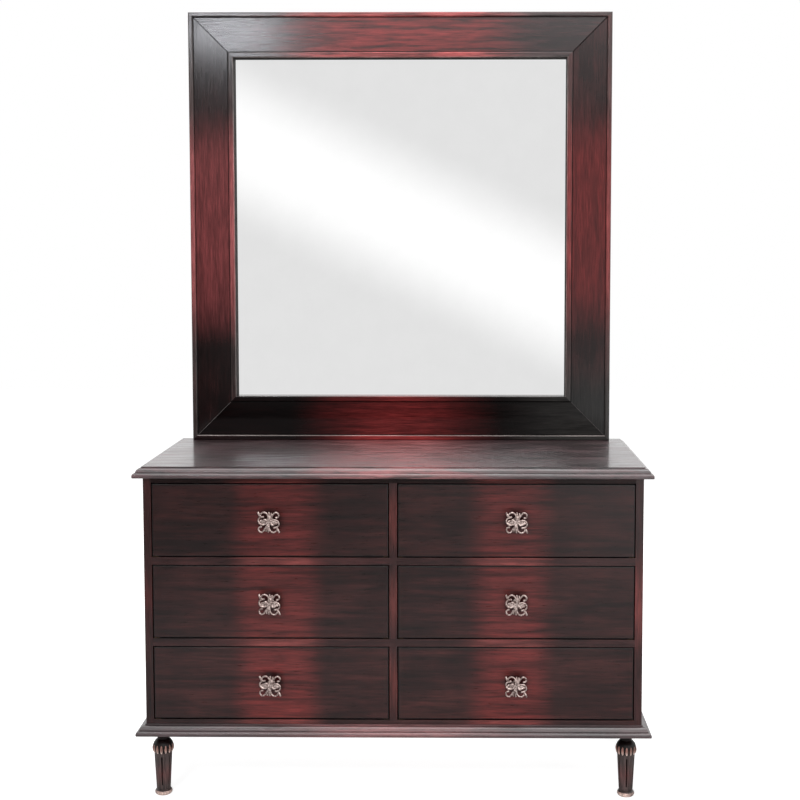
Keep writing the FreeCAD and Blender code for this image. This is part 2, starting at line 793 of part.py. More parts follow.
def build_drawers():
    """Six drawers of five pieces each."""
    pieces = drawer_pieces()
    pull = pull_pieces()
    for row in ROWS:
        for column in COLUMNS:
            prefix = f"{row}_{column}_drawer"
            x = column_start(column)
            z = opening_floor(row)
            for name, solids in pieces.items():
                node(put(group(f"{prefix}_{name}", solids), x, "face_y", z))
            node(put(group(f"{prefix}_pull", pull),
                     f"{x} + column_width / 2", "face_y", f"{z} + opening_height / 2"))


# The mirror: four mitred frame members, glass, backing board, clips and the battens that hold it up.

def frame_member(name, length, turn, at):
    """One mitred member. From the outer edge inwards: raised bead, sunk flat, second bead and rebate."""
    flat = "frame_face - outer_bead_width - inner_bead_width - 2 * frame_quirk_width"
    profile = upright(outline(name + "_profile", ("outer_bead_radius", "0"), [
        ("-outer_bead_radius", "-outer_bead_radius", "outer_bead_radius"),
        ("0", "2 * outer_bead_radius - outer_bead_width"),
        ("outer_bead_radius", "-outer_bead_radius", "outer_bead_radius"),
        ("frame_flat_sink + frame_quirk_depth - outer_bead_radius", "0"),
        ("0", "-frame_quirk_width"),
        ("-frame_quirk_depth", "0"),
        ("0", f"-({flat})"),
        ("frame_quirk_depth", "0"),
        ("0", "-frame_quirk_width"),
        ("inner_bead_sink + inner_bead_radius - frame_flat_sink - frame_quirk_depth", "0"),
        ("-inner_bead_radius", "-inner_bead_radius", "inner_bead_radius"),
        ("0", "2 * inner_bead_radius - inner_bead_width"),
        ("inner_bead_radius", "-inner_bead_radius", "inner_bead_radius"),
        ("glass_sink - inner_bead_sink - inner_bead_radius", "0"),
        ("0", "glass_rebate"),
        ("frame_thickness - glass_sink", "0"),
        ("0", "frame_face - glass_rebate"),
        ("outer_bead_radius - frame_thickness", "0"),
    ]), "x")
    bar = extruded(name + "_bar", profile, Vector(1, 0, 0), length, symmetric=True)
    mitre = bound(
        "Part::Wedge", name + "_mitre", Xmin=f"-{length} / 2", Xmax=f"{length} / 2",
        Ymin="0", Ymax="frame_face", Zmin="0", Zmax="frame_thickness",
        X2min=f"frame_face - {length} / 2", X2max=f"{length} / 2 - frame_face",
        Z2min="0", Z2max="frame_thickness")
    turned(mitre, Vector(1, 0, 0), -90)
    member = doc.addObject("Part::Common", name)
    member.Base = bar
    member.Tool = mitre
    return put(turned(member, Vector(0, 1, 0), turn), *at)


def build_frame():
    """Top and bottom rails and two stiles, with the stiles bored for the batten screws."""
    top = ("0", "mirror_front_y", "dresser_top + mirror_height")
    node(frame_member("mirror_frame_top", "mirror_width", 0, top))
    node(frame_member("mirror_frame_bottom", "mirror_width", 180, ("0", "mirror_front_y", "dresser_top")))
    for side, sign in zip(COLUMNS, (-1, 1)):
        name = f"mirror_frame_{side}"
        at = (f"{sign} * mirror_width / 2", "mirror_front_y", "mirror_mid_z")
        blank = frame_member(name + "_blank", "mirror_height", 90 * sign, at)
        node(cut(name, blank, [batten_screw_holes]))


def build_glass():
    """The mirror glass in the frame's rebate and the board behind it."""
    for name, thickness, sink in (
        ("mirror_glass", "glass_thickness", "glass_sink"),
        ("mirror_backing_board", "backing_thickness", "glass_sink + glass_thickness"),
    ):
        node(block(name, ("pane_width", thickness, "pane_height"),
                   ("-pane_width / 2", f"mirror_front_y + {sink}", "mirror_mid_z - pane_height / 2")))


def build_clips():
    """Flat clips on the frame's back that hold the backing board in."""
    edge_x = "mirror_width / 2 - frame_face + glass_rebate"
    edge_z = "mirror_height / 2 - frame_face + glass_rebate"
    spots = []
    for sign in (-1, 1):
        for step in (-1, 0, 1):
            z = f"mirror_mid_z + {sign} * ({edge_z})"
            spots.append((f"{step} * clip_spacing", z, "clip_width", "clip_length"))
        for step in (-1, 1):
            z = f"mirror_mid_z + {step} * clip_spacing"
            spots.append((f"{sign} * ({edge_x})", z, "clip_length", "clip_width"))
    node(group("mirror_clips", [
        block(f"mirror_clip_{i}", (width, "clip_thickness", height),
              (f"{x} - {width} / 2", "back_y", f"{z} - {height} / 2"))
        for i, (x, z, width, height) in enumerate(spots)
    ]))


def build_battens():
    """Two upright battens screwed to the carcass and to the mirror frame behind them."""
    battens = [
        block(f"mirror_batten_{side}", ("batten_width", "batten_thickness", "batten_length"),
              (f"{sign} * batten_x - batten_width / 2", "back_y", "batten_low"))
        for side, sign in zip(COLUMNS, (-1, 1))
    ]
    node(cut("mirror_battens", group("mirror_batten_pair", battens), [batten_screw_holes]))
    node(group("batten_screws", batten_screws))


def check():
    """Stops if any object failed or any piece is empty or broken."""
    for thing in doc.Objects:
        if {"Invalid", "Error"} & set(thing.State):
            raise RuntimeError(f"{thing.Label} is {thing.State}")
    for thing in nodes:
        if thing.Shape.isNull() or not thing.Shape.isValid() or not thing.Shape.Solids:
            raise RuntimeError(f"{thing.Label} has no sound shape")


def write():
    """Writes each piece to a file of its own name."""
    os.makedirs("parts", exist_ok=True)
    for thing in nodes:
        thing.Shape.exportStep(f"parts/{thing.Label}.step")


moulded_board("base_board", "leg_height", [base_screw_holes, leg_bolt_holes()])
moulded_board("top_panel", "carcass_top", [top_screw_holes])
build_legs()
build_sides()
build_rails()
build_partition()
build_back()
build_runners()
build_stops()
node(group("carcass_screws", base_screws + top_screws))
build_drawers()
build_frame()
build_glass()
build_clips()
build_battens()
doc.recompute()
check()
write()
for piece in nodes:
    print(piece.Label, len(piece.Shape.Solids), round(piece.Shape.Volume / 1000, 2), "cm3")
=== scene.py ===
"""Dresses the dresser with mirror: burst lacquer, turned legs, cast scroll pulls, mirror glass and a soft studio."""

import logging
import math
from dataclasses import dataclass
from enum import Enum
from functools import cached_property
from typing import Callable

import bmesh
import bpy
from mathutils import Matrix, Vector


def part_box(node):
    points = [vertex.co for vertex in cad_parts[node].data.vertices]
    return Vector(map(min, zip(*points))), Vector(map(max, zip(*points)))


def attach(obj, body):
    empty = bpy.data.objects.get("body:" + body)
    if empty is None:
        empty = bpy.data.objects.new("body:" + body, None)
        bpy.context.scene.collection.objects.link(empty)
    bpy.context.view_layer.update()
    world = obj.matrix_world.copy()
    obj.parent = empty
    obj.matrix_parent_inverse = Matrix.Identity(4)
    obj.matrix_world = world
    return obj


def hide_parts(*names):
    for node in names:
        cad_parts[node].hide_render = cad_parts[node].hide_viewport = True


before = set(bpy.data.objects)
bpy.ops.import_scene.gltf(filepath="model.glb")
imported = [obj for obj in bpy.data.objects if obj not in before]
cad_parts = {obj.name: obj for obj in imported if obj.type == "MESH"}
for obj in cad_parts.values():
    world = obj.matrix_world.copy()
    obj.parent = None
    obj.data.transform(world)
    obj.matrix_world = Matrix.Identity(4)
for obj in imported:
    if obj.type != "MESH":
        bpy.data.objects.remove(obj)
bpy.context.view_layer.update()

LOG = logging.getLogger("dresser")
ROOT_BODY = "dresser"
COLUMNS = ("left", "right")
DRAWERS = tuple(f"{row}_{column}_drawer" for row in ("bottom", "middle", "top") for column in COLUMNS)
LOWEST_STOREY = 0.2765
STOREY = 0.192
PER_METRE = 1000
WHITE = (1.0, 1.0, 1.0)

Colour = tuple[float, float, float]
Span = tuple[float, float]
Points = tuple[Span, ...]
Material = bpy.types.Material
Piece = bpy.types.Object
Socket = bpy.types.NodeSocket
Value = Socket | float | Colour | Vector


class Axis(Enum):
    """The direction that a board's grain runs in."""

    X = 0
    Y = 1
    Z = 2


class Fold(Enum):
    """How a burst repeats over an assembly."""

    ONCE = "once"
    BOTH_SIDES = "both sides"
    EACH_STOREY = "each storey"


class Nodes:
    """A node tree, with short ways to add and join what the finishes and the surroundings need."""

    def __init__(self, tree: bpy.types.NodeTree) -> None:
        """Empties the tree."""
        self.tree = tree
        tree.nodes.clear()

    def feed(self, socket: Socket, value: Value) -> None:
        """Links another node's output to a socket, or sets the socket to a constant.

        Args:
            socket: the input to fill.
            value: what goes into it.
        """
        if isinstance(value, Socket):
            self.tree.links.new(value, socket)
        elif socket.type == "RGBA":
            socket.default_value = (*value, 1.0)
        else:
            socket.default_value = value

    def fill(self, node: bpy.types.Node, **inputs: Value) -> None:
        """Feeds a node's inputs by name, with underscores for spaces."""
        for name, value in inputs.items():
            self.feed(node.inputs[name.replace("_", " ")], value)

    def add(self, kind: str, **inputs: Value) -> bpy.types.Node:
        """Adds a node.

        Args:
            kind: the node's type.
            **inputs: what goes into it, by name.

        Returns:
            The node.
        """
        node = self.tree.nodes.new(kind)
        self.fill(node, **inputs)
        return node

    def parts(self, vector: Socket) -> dict[Axis, Socket]:
        """A vector's three parts."""
        node = self.add("ShaderNodeSeparateXYZ", Vector=vector)
        return {axis: node.outputs[axis.value] for axis in Axis}

    def math(self, operation: str, *values: Socket | float) -> Socket:
        """One Math node.

        Args:
            operation: the node's operation.
            *values: its inputs, in order.

        Returns:
            The result's socket.
        """
        node = self.add("ShaderNodeMath")
        node.operation = operation
        for socket, value in zip(node.inputs, values):
            self.feed(socket, value)
        return node.outputs[0]

    def times(self, product: Socket, *factors: Socket | float) -> Socket:
        """Several values multiplied together.

        Args:
            product: the first value.
            *factors: the others.

        Returns:
            The product's socket.
        """
        for factor in factors:
            product = self.math("MULTIPLY", product, factor)
        return product

    def rest(self, share: Socket) -> Socket:
        """What a share leaves over from 1."""
        return self.math("SUBTRACT", 1.0, share)

    def ramp(self, value: Socket, low: float, high: float, start: float = 0.0, end: float = 1.0) -> Socket:
        """A smooth step from one value to another.

        Args:
            value: what is read.
            low: where the step begins.
            high: where the step ends.
            start: the result before the step.
            end: the result after it.

        Returns:
            The result's socket.
        """
        node = self.add("ShaderNodeMapRange", Value=value, From_Min=low, From_Max=high, To_Min=start, To_Max=end)
        node.interpolation_type = "SMOOTHSTEP"
        return node.outputs["Result"]


class Recipe(Nodes):
    """One procedural material, put together node by node on Object coordinates."""

    def __init__(self, name: str) -> None:
        """Starts a material with one principled shader.

        Args:
            name: the material's name.
        """
        self.material = bpy.data.materials.new(name)
        self.material.use_nodes = True
        super().__init__(self.material.node_tree)
        self.shader = self.add("ShaderNodeBsdfPrincipled")
        self.add("ShaderNodeOutputMaterial", Surface=self.shader.outputs[0])
        self.place = self.add("ShaderNodeTexCoord").outputs["Object"]
        self.along = self.parts(self.place)

    def finished(self, **inputs: Value) -> Material:
        """Fills the shader's own sockets and hands the material over."""
        self.fill(self.shader, **inputs)
        return self.material

    def facing(self, axis: Axis) -> Socket:
        """How squarely the surface faces along an axis, from 0 to 1."""
        normal = self.parts(self.add("ShaderNodeTexCoord").outputs["Normal"])
        return self.math("ABSOLUTE", normal[axis])

    def bands(self, value: Socket, steps: Points) -> Socket:
        """A value that changes in clear steps.

        Args:
            value: what is read, from 0 to 1.
            steps: where each step begins, and its value.

        Returns:
            The result's socket.
        """
        node = self.add("ShaderNodeValToRGB", Fac=value)
        ramp = node.color_ramp
        ramp.interpolation = "CONSTANT"
        ramp.elements.remove(ramp.elements[1])
        for number, (place, level) in enumerate(steps):
            element = ramp.elements.new(place) if number else ramp.elements[0]
            element.position = place
            element.color = (level, level, level, 1.0)
        return node.outputs["Color"]

    def noise(self, scale: Vector, detail: float = 3.0, rough: float = 0.55, warp: float = 0.0) -> Socket:
        """Noise that is stretched over the object by different scales.

        Args:
            scale: cells per metre along each axis.
            detail: octaves of finer noise.
            rough: how strong the finer octaves are.
            warp: how far the pattern is distorted.

        Returns:
            The noise value's socket.
        """
        mapping = self.add("ShaderNodeMapping", Vector=self.place, Scale=scale)
        node = self.add("ShaderNodeTexNoise", Vector=mapping.outputs[0], Scale=1.0, Detail=detail, Roughness=rough,
                        Distortion=warp)
        return node.outputs["Fac"]

    def mix(self, share: Socket | float, first: Socket | Colour, second: Socket | Colour,
            blend: str = "MIX") -> Socket:
        """A mix of two colours.

        Args:
            share: how much of the second colour.
            first: the first colour.
            second: the second colour.
            blend: the blend type.

        Returns:
            The mixed colour's socket.
        """
        node = self.add("ShaderNodeMix")
        node.data_type = "RGBA"
        node.blend_type = blend
        for number, value in ((0, share), (6, first), (7, second)):
            self.feed(node.inputs[number], value)
        return node.outputs[2]

    def bump(self, height: Socket, depth: float) -> None:
        """Gives the surface relief, as deep as the height of 1."""
        node = self.add("ShaderNodeBump", Height=height, Distance=depth, Strength=1.0)
        self.fill(self.shader, Normal=node.outputs[0])


def stretched(axis: Axis, along: float, across: float) -> Vector:
    """A noise scale, in cells per metre, that is coarse along the grain and fine across it."""
    return Vector([along if number == axis.value else across for number in range(3)])


@dataclass(frozen=True)
class MitredFrame:
    """The mirror frame's section, told by how far in from the frame's outer edge a place lies."""

    half_width: float = 0.549
    half_height: float = 0.557
    middle: float = 1.343
    span: float = 0.117
    # painted_light_and_shade: the beads are brightened, partly as rubbed wear and partly as a painted highlight; the
    # quirks and the inner wall are darkened as painted shade
    painted_light_and_shade: Points = ((0.0, 1.9), (0.0120, 0.10), (0.0140, 1.0), (0.1000, 0.10), (0.1020, 1.9), (0.1157, 0.30))
    # wear_and_highlight mixes in a pale colour: on the beads partly wear and partly a painted highlight, on the
    # inner arris a painted highlight
    wear_and_highlight: Points = ((0.0, 0.06), (0.0120, 0.0), (0.1020, 0.04), (0.1136, 0.25), (0.1157, 0.0))
    wear_and_highlight_colour: Colour = (0.22, 0.19, 0.18)
    matt: Points = ((0.0, 0.0), (0.0120, 1.0), (0.0140, 0.0), (0.1000, 1.0), (0.1020, 0.0), (0.1157, 1.0))
    matt_rough: float = 0.8

    def levels(self, recipe: Recipe, steps: Points) -> Socket:
        """Looks up a value by the distance from the outer edge.

        Args:
            recipe: the material being made.
            steps: where each value begins, in metres, and the value.

        Returns:
            The value's socket.
        """
        across = recipe.math("SUBTRACT", self.half_width, recipe.math("ABSOLUTE", recipe.along[Axis.X]))
        lifted = recipe.math("SUBTRACT", recipe.along[Axis.Z], self.middle)
        up = recipe.math("SUBTRACT", self.half_height, recipe.math("ABSOLUTE", lifted))
        share = recipe.math("DIVIDE", recipe.math("MINIMUM", across, up), self.span)
        return recipe.bands(share, tuple((place / self.span, level) for place, level in steps))


@dataclass(frozen=True)
class FrontEdges:
    """Painted shade on the drawer fronts: a painted shadow line along their edges, where the gaps fall dark, and a
    painted shadow round their pulls.
    """

    centre: float = 0.285
    half_width: float = 0.2738
    half_height: float = 0.0848
    edge: Span = (0.00088, 0.00308)
    edge_shade: float = 0.1
    pull: Span = (0.018, 0.036)
    pull_shade: float = 0.3

    def shade(self, recipe: Recipe) -> Socket:
        """The painted shade near a front's edges and the painted shadow round its pull.

        Args:
            recipe: the material being made.

        Returns:
            The shade's socket.
        """
        sideways = recipe.math("SUBTRACT", recipe.math("ABSOLUTE", recipe.along[Axis.X]), self.centre)
        across = recipe.math("SUBTRACT", self.half_width, recipe.math("ABSOLUTE", sideways))
        lifted = recipe.math("SUBTRACT", recipe.along[Axis.Z], LOWEST_STOREY)
        lifted = recipe.math("WRAP", lifted, -STOREY / 2, STOREY / 2)
        up = recipe.math("SUBTRACT", self.half_height, recipe.math("ABSOLUTE", lifted))
        # painted shade: the front darkens within a few millimetres of its edges, standing in for the shadow in the
        # gaps
        edge = recipe.ramp(recipe.math("MINIMUM", across, up), *self.edge, self.edge_shade)
        square = recipe.math("MULTIPLY_ADD", sideways, sideways, recipe.times(lifted, lifted))
        # painted shadow: the front darkens in a soft disc round the pull, where the pull casts its shadow
        return recipe.times(edge, recipe.ramp(recipe.math("SQRT", square), *self.pull, self.pull_shade))


@dataclass(frozen=True)
class BurstLacquer:
    """Dark mahogany lacquer, sprayed black towards a board's ends and left red in its middle.

    The burst lies round centre, as far as reach, and fades over soft. A figure of streaks, fine fibre and pores run
    along the grain. The other fields are for single boards: rise paints light and shade over a stack of drawers,
    lighter at the foot and darker at the head, ripple and patchy let the figure show in the relief and the sheen,
    and painted_sheen_tint greys one end as a painted sheen of reflected light.
    """

    name: str
    grain: Axis
    centre: float
    reach: float
    soft: float
    fold: Fold = Fold.ONCE
    storey: float = STOREY
    dark: Colour = (0.012, 0.0026, 0.0026)
    brown: Colour = (0.024, 0.0054, 0.0049)
    red: Colour = (0.070, 0.0080, 0.0072)
    rough: float = 0.30
    gloss: float = 0.38
    wander: float = 0.012
    streak: float = 0.60
    figure: Span = (7, 110)
    fibre: Span = (24, 560)
    pores: Span = (60, 2100)
    cloud: Span = (6, 14)
    rise: Span | None = None
    rise_heights: Span = (0.19, 0.77)
    relief: float = 0.00003
    ripple: float = 0.0
    coat: float = 0.0
    coat_rough: float = 0.14
    patchy: float = 0.0
    painted_sheen_tint: Colour | None = None
    painted_sheen_span: Span = (0.0, 1.0)
    painted_edge_shade: bool = False
    edging: FrontEdges | None = None
    mitre: MitredFrame | None = None

    def burst(self, recipe: Recipe) -> Socket:
        """How red the board is at each place, from 0 to 1.

        Args:
            recipe: the material being made.

        Returns:
            The burst mask's socket.
        """
        place = recipe.along[self.grain]
        if self.fold is Fold.BOTH_SIDES:
            place = recipe.math("ABSOLUTE", place)
        offset = recipe.math("SUBTRACT", place, self.centre)
        if self.fold is Fold.EACH_STOREY:
            offset = recipe.math("WRAP", offset, -self.storey / 2, self.storey / 2)
        cells = recipe.noise(Vector((9, 9, 9)), 2.0)
        wander = recipe.math("MULTIPLY_ADD", cells, 4 * self.wander, -2 * self.wander)
        away = recipe.math("ABSOLUTE", recipe.math("ADD", offset, wander))
        return recipe.ramp(away, self.reach - self.soft, self.reach + self.soft, 1.0, 0.0)

    def colour(self, recipe: Recipe) -> Socket:
        """The lacquer's colour, before the grain shades it.

        Args:
            recipe: the material being made.

        Returns:
            The colour's socket.
        """
        cloud = recipe.noise(stretched(self.grain, *self.cloud), 3.0, 0.6)
        wood = recipe.mix(recipe.ramp(cloud, 0.38, 0.66), self.dark, self.brown)
        wood = recipe.mix(self.burst(recipe), wood, self.red)
        # painted sheen: one end of the board is greyed in colour, where a reflection greys the lacquer
        if self.painted_sheen_tint:
            start, end = self.painted_sheen_span
            rising = start < end
            share = recipe.ramp(recipe.along[self.grain], *sorted(self.painted_sheen_span), float(not rising), float(rising))
            wood = recipe.mix(share, wood, self.painted_sheen_tint)
        # the frame's pale mix: wear on the beads, and painted highlights on the arris and on lit walls
        if self.mitre:
            wood = recipe.mix(self.mitre.levels(recipe, self.mitre.wear_and_highlight), wood, self.mitre.wear_and_highlight_colour)
        return wood

    def painted_light_and_shade(self, recipe: Recipe) -> list[Socket]:
        """The painted light and shade over a whole front or member, beside the grain: the frame's painted highlights
        and shade, the fronts' painted shadows, the stack's painted rise and the painted shade on edge faces.

        Args:
            recipe: the material being made.

        Returns:
            A socket for each shade.
        """
        painted_light_and_shade = []
        if self.mitre:
            painted_light_and_shade.append(self.mitre.levels(recipe, self.mitre.painted_light_and_shade))
        if self.edging:
            painted_light_and_shade.append(self.edging.shade(recipe))
        # painted light: the drawer stack is lighter at its foot and darker at its head, as the light falls on it
        if self.rise:
            painted_light_and_shade.append(recipe.ramp(recipe.along[Axis.Z], *self.rise_heights, *self.rise))
        # painted shade: faces that do not face forwards are darkened, so the gaps between fronts, rails and stile
        # fall dark
        if self.painted_edge_shade:
            painted_light_and_shade.append(recipe.ramp(recipe.facing(Axis.Y), 0.5, 0.8, 0.12))
        return painted_light_and_shade

    @cached_property
    def material(self) -> Material:
        """The material, built when it is first asked for.

        Returns:
            The finished material.
        """
        recipe = Recipe(self.name)
        figure = recipe.noise(stretched(self.grain, *self.figure), 4.0, 0.65, 0.4)
        fibre = recipe.noise(stretched(self.grain, *self.fibre), 3.0, 0.6)
        pores = recipe.ramp(recipe.noise(stretched(self.grain, *self.pores), 2.0), 0.60, 0.70)
        streaks = recipe.ramp(figure, 0.25, 0.75, 1 - self.streak, 1 + self.streak)
        fine = recipe.ramp(fibre, 0.25, 0.75, 0.64, 1.36)
        shade = recipe.times(streaks, fine, recipe.math("MULTIPLY_ADD", pores, -0.35, 1.0), *self.painted_light_and_shade(recipe))
        grey = recipe.add("ShaderNodeCombineColor", Red=shade, Green=shade, Blue=shade)
        if self.patchy:
            rough = recipe.ramp(figure, 0.3, 0.7, self.rough - self.patchy, self.rough + self.patchy)
        else:
            rough = recipe.ramp(fibre, 0.1, 0.9, self.rough - 0.05, self.rough + 0.06)
        if self.mitre:
            matt = recipe.times(self.mitre.levels(recipe, self.mitre.matt), self.mitre.matt_rough)
            rough = recipe.math("MAXIMUM", rough, matt)
        height = recipe.math("MULTIPLY_ADD", pores, -0.7, fibre)
        if self.ripple:
            height = recipe.math("MULTIPLY_ADD", figure, self.ripple / self.relief, height)
        recipe.bump(height, self.relief)
        return recipe.finished(
            Base_Color=recipe.mix(1.0, self.colour(recipe), grey.outputs[0], "MULTIPLY"), Roughness=rough,
            Specular_IOR_Level=self.gloss, Coat_Weight=self.coat, Coat_Roughness=self.coat_rough)


@dataclass(frozen=True)
class BareWood:
    """Planed wood with no colour on it, as inside drawers and on runners."""

    name: str
    grain: Axis
    pale: Colour
    deep: Colour
    gloss: float = 0.4
    figure: Span = (3, 70)
    fibre: Span = (25, 1100)
    relief: float = 0.00008

    @cached_property
    def material(self) -> Material:
        """The material, built when it is first asked for.

        Returns:
            The finished material.
        """
        recipe = Recipe(self.name)
        figure = recipe.noise(stretched(self.grain, *self.figure), 4.0, 0.6, 0.6)
        fibre = recipe.noise(stretched(self.grain, *self.fibre), 3.0, 0.6)
        share = recipe.math("MULTIPLY_ADD", figure, 1.5, recipe.math("MULTIPLY_ADD", fibre, 0.6, -0.55))
        recipe.bump(fibre, self.relief)
        return recipe.finished(
            Base_Color=recipe.mix(share, self.pale, self.deep), Roughness=recipe.ramp(fibre, 0.1, 0.9, 0.52, 0.68),
            Specular_IOR_Level=self.gloss)


@dataclass(frozen=True)
class CastMetal:
    """Metal whose colour and roughness vary in soft clouds between a dull and a bright tone."""

    name: str
    bright: Colour
    dull: Colour
    rough: float
    cloud: float = 260.0
    grit: float = 900.0
    relief: float = 0.00005

    @cached_property
    def material(self) -> Material:
        """The material, built when it is first asked for.

        Returns:
            The finished material.
        """
        recipe = Recipe(self.name)
        cloud = recipe.noise(Vector((self.cloud,) * 3), 4.0, 0.65)
        recipe.bump(recipe.noise(Vector((self.grit,) * 3), 2.0), self.relief)
        return recipe.finished(
            Base_Color=recipe.mix(recipe.ramp(cloud, 0.35, 0.65), self.dull, self.bright),
            Roughness=recipe.ramp(cloud, 0.2, 0.8, self.rough + 0.1, self.rough - 0.06), Metallic=1.0)


@dataclass(frozen=True)
class SilveredGlass:
    """Mirror glass, with a faint haze in its silvering."""

    name: str
    tint: Colour
    haze: float = 14.0
    rough: Span = (0.012, 0.02)

    @cached_property
    def material(self) -> Material:
        """The material, built when it is first asked for.

        Returns:
            The finished material.
        """
        recipe = Recipe(self.name)
        haze = recipe.noise(Vector((self.haze,) * 3), 3.0)
        dimmer = tuple(0.985 * part for part in self.tint)
        return recipe.finished(
            Base_Color=recipe.mix(recipe.ramp(haze, 0.3, 0.7), dimmer, self.tint),
            Roughness=recipe.ramp(haze, 0.3, 0.7, *self.rough), Metallic=1.0)


Finish = BurstLacquer | BareWood | CastMetal | SilveredGlass
Dressing = tuple[tuple[Finish | str, ...], ...]

BLACK = {"dark": (0.002, 0.0006, 0.0006), "brown": (0.004, 0.001, 0.001)}
WARM = {"dark": (0.016, 0.004, 0.004), "brown": (0.030, 0.008, 0.008)}
RAIL = {**WARM, "red": (0.128, 0.024, 0.022)}
BOARD = {"dark": (0.020, 0.009, 0.010), "brown": (0.040, 0.019, 0.021)}
RUBY = (0.115, 0.013, 0.013)
# the drawer fronts carry painted light: rise lightens the lowest drawers and darkens the highest, painted_edge_shade
# and the edging paint shadow into the gaps, and the edging paints a shadow round each pull
FRONT = {"red": (0.077, 0.0086, 0.0078), "wander": 0.008, "streak": 0.75, "figure": (5, 85), "rise": (1.18, 0.72),
         "painted_edge_shade": True, "edging": FrontEdges()}
FRAMING = {"rough": 0.17, "gloss": 0.28, "streak": 0.38, "ripple": 0.00005, "relief": 0.000012}
OVER_PULLS = (Axis.X, 0.272, 0.082, 0.045, Fold.BOTH_SIDES)
PALE, DEEP = (0.50, 0.33, 0.19), (0.33, 0.19, 0.09)
TAN, BARK = (0.34, 0.21, 0.11), (0.20, 0.11, 0.05)
DRAWER_WOOD = BareWood("drawer_wood", Axis.Y, PALE, DEEP)
DRAWER_BACK_WOOD = BareWood("drawer_back_wood", Axis.X, PALE, DEEP)
HARDBOARD = BareWood("hardboard", Axis.Z, (0.20, 0.12, 0.07), (0.13, 0.075, 0.04))
STEEL = CastMetal("steel", (0.60, 0.60, 0.60), (0.42, 0.42, 0.43), 0.35)


def deselect() -> None:
    """Leaves edit mode and clears the selection."""
    if bpy.context.mode != "OBJECT":
        bpy.ops.object.mode_set(mode="OBJECT")
    bpy.ops.object.select_all(action="DESELECT")


def select_only(*pieces: Piece) -> None:
    """Selects some pieces, with the first one active.

    Args:
        *pieces: the pieces to select.
    """
    deselect()
    for piece in pieces:
        piece.select_set(True)
    bpy.context.view_layer.objects.active = pieces[0]


def edit(piece: Piece) -> None:
    """Opens a piece in edit mode, with vertices to select.

    Args:
        piece: the piece to edit.
    """
    select_only(piece)
    bpy.ops.object.mode_set(mode="EDIT")
    bpy.context.tool_settings.mesh_select_mode = (True, False, False)


def pick(piece: Piece, wanted: Callable[[Vector], bool]) -> None:
    """Selects the vertices whose place passes a test, in edit mode.

    Args:
        piece: the piece being edited.
        wanted: the test of a vertex's place.
    """
    bpy.ops.mesh.select_all(action="DESELECT")
    mesh = bmesh.from_edit_mesh(piece.data)
    for vertex in mesh.verts:
        vertex.select = wanted(vertex.co)
    mesh.select_flush(True)
    bmesh.update_edit_mesh(piece.data)


def face_outwards() -> None:
    """Turns all the faces of the piece being edited outwards."""
    bpy.ops.mesh.select_all(action="SELECT")
    bpy.ops.mesh.normals_make_consistent(inside=False)


def shaped(name: str, size: Vector, middle: Vector) -> Piece:
    """Names, stretches and moves the primitive that was just added.

    Args:
        name: the piece's name.
        size: how far it is stretched along each axis.
        middle: where its middle goes.

    Returns:
        The piece, in edit mode.
    """
    piece = bpy.context.object
    piece.name = name
    edit(piece)
    bpy.ops.mesh.select_all(action="SELECT")
    bpy.ops.transform.resize(value=size, center_override=(0, 0, 0))
    bpy.ops.transform.translate(value=middle)
    return piece


def block(name: str, low: Vector, high: Vector) -> Piece:
    """Models a plain block.

    Args:
        name: the block's name.
        low: its lowest corner.
        high: its highest corner.

    Returns:
        The block.
    """
    deselect()
    bpy.ops.mesh.primitive_cube_add(size=1, location=(0, 0, 0))
    piece = shaped(name, high - low, (low + high) / 2)
    deselect()
    return piece


def turned(name: str, profile: list[Span], segments: int) -> Piece:
    """Turns a closed piece about Z by extruding a disc up through a profile.

    Args:
        name: the piece's name.
        profile: radius and height of each ring, from the bottom up, in metres.
        segments: vertices in each ring.

    Returns:
        The turned piece, in edit mode.
    """
    deselect()
    radius, height = profile[0]
    bpy.ops.mesh.primitive_circle_add(vertices=segments, radius=radius, fill_type="NGON", location=(0, 0, 0))
    piece = shaped(name, Vector((1, 1, 1)), Vector((0, 0, height)))
    for wide, high in profile[1:]:
        bpy.ops.mesh.extrude_region_move(TRANSFORM_OT_translate={"value": (0, 0, high - height)})
        bpy.ops.transform.resize(value=(wide / radius, wide / radius, 1), center_override=(0, 0, high))
        radius, height = wide, high
    face_outwards()
    return piece


def joined(crease: float, *pieces: Piece) -> Piece:
    """Joins pieces into the first one and smooths it between its creases.

    Args:
        crease: the angle from which an edge stays sharp.
        *pieces: the pieces to join.

    Returns:
        The one piece.
    """
    select_only(*pieces)
    bpy.ops.object.join()
    select_only(pieces[0])
    bpy.ops.object.shade_smooth_by_angle(angle=crease)
    return pieces[0]


def apply_modifier(piece: Piece, kind: str, **settings: object) -> None:
    """Adds a modifier with some settings and applies it.

    Args:
        piece: the piece it shapes.
        kind: the modifier's type.
        **settings: its settings.
    """
    select_only(piece)
    modifier = piece.modifiers.new(kind.lower(), kind)
    for name, value in settings.items():
        setattr(modifier, name, value)
    bpy.ops.object.modifier_apply(modifier=modifier.name)


def copied(piece: Piece, name: str, place: Matrix) -> Piece:
    """Copies a piece with a mesh of its own, moved in the mesh.

    Args:
        piece: the piece to copy.
        name: the copy's name.
        place: the move.

    Returns:
        The copy.
    """
    twin = piece.copy()
    twin.data = piece.data.copy()
    twin.name = name
    twin.data.name = name
    twin.data.transform(place)
    bpy.context.scene.collection.objects.link(twin)
    return twin


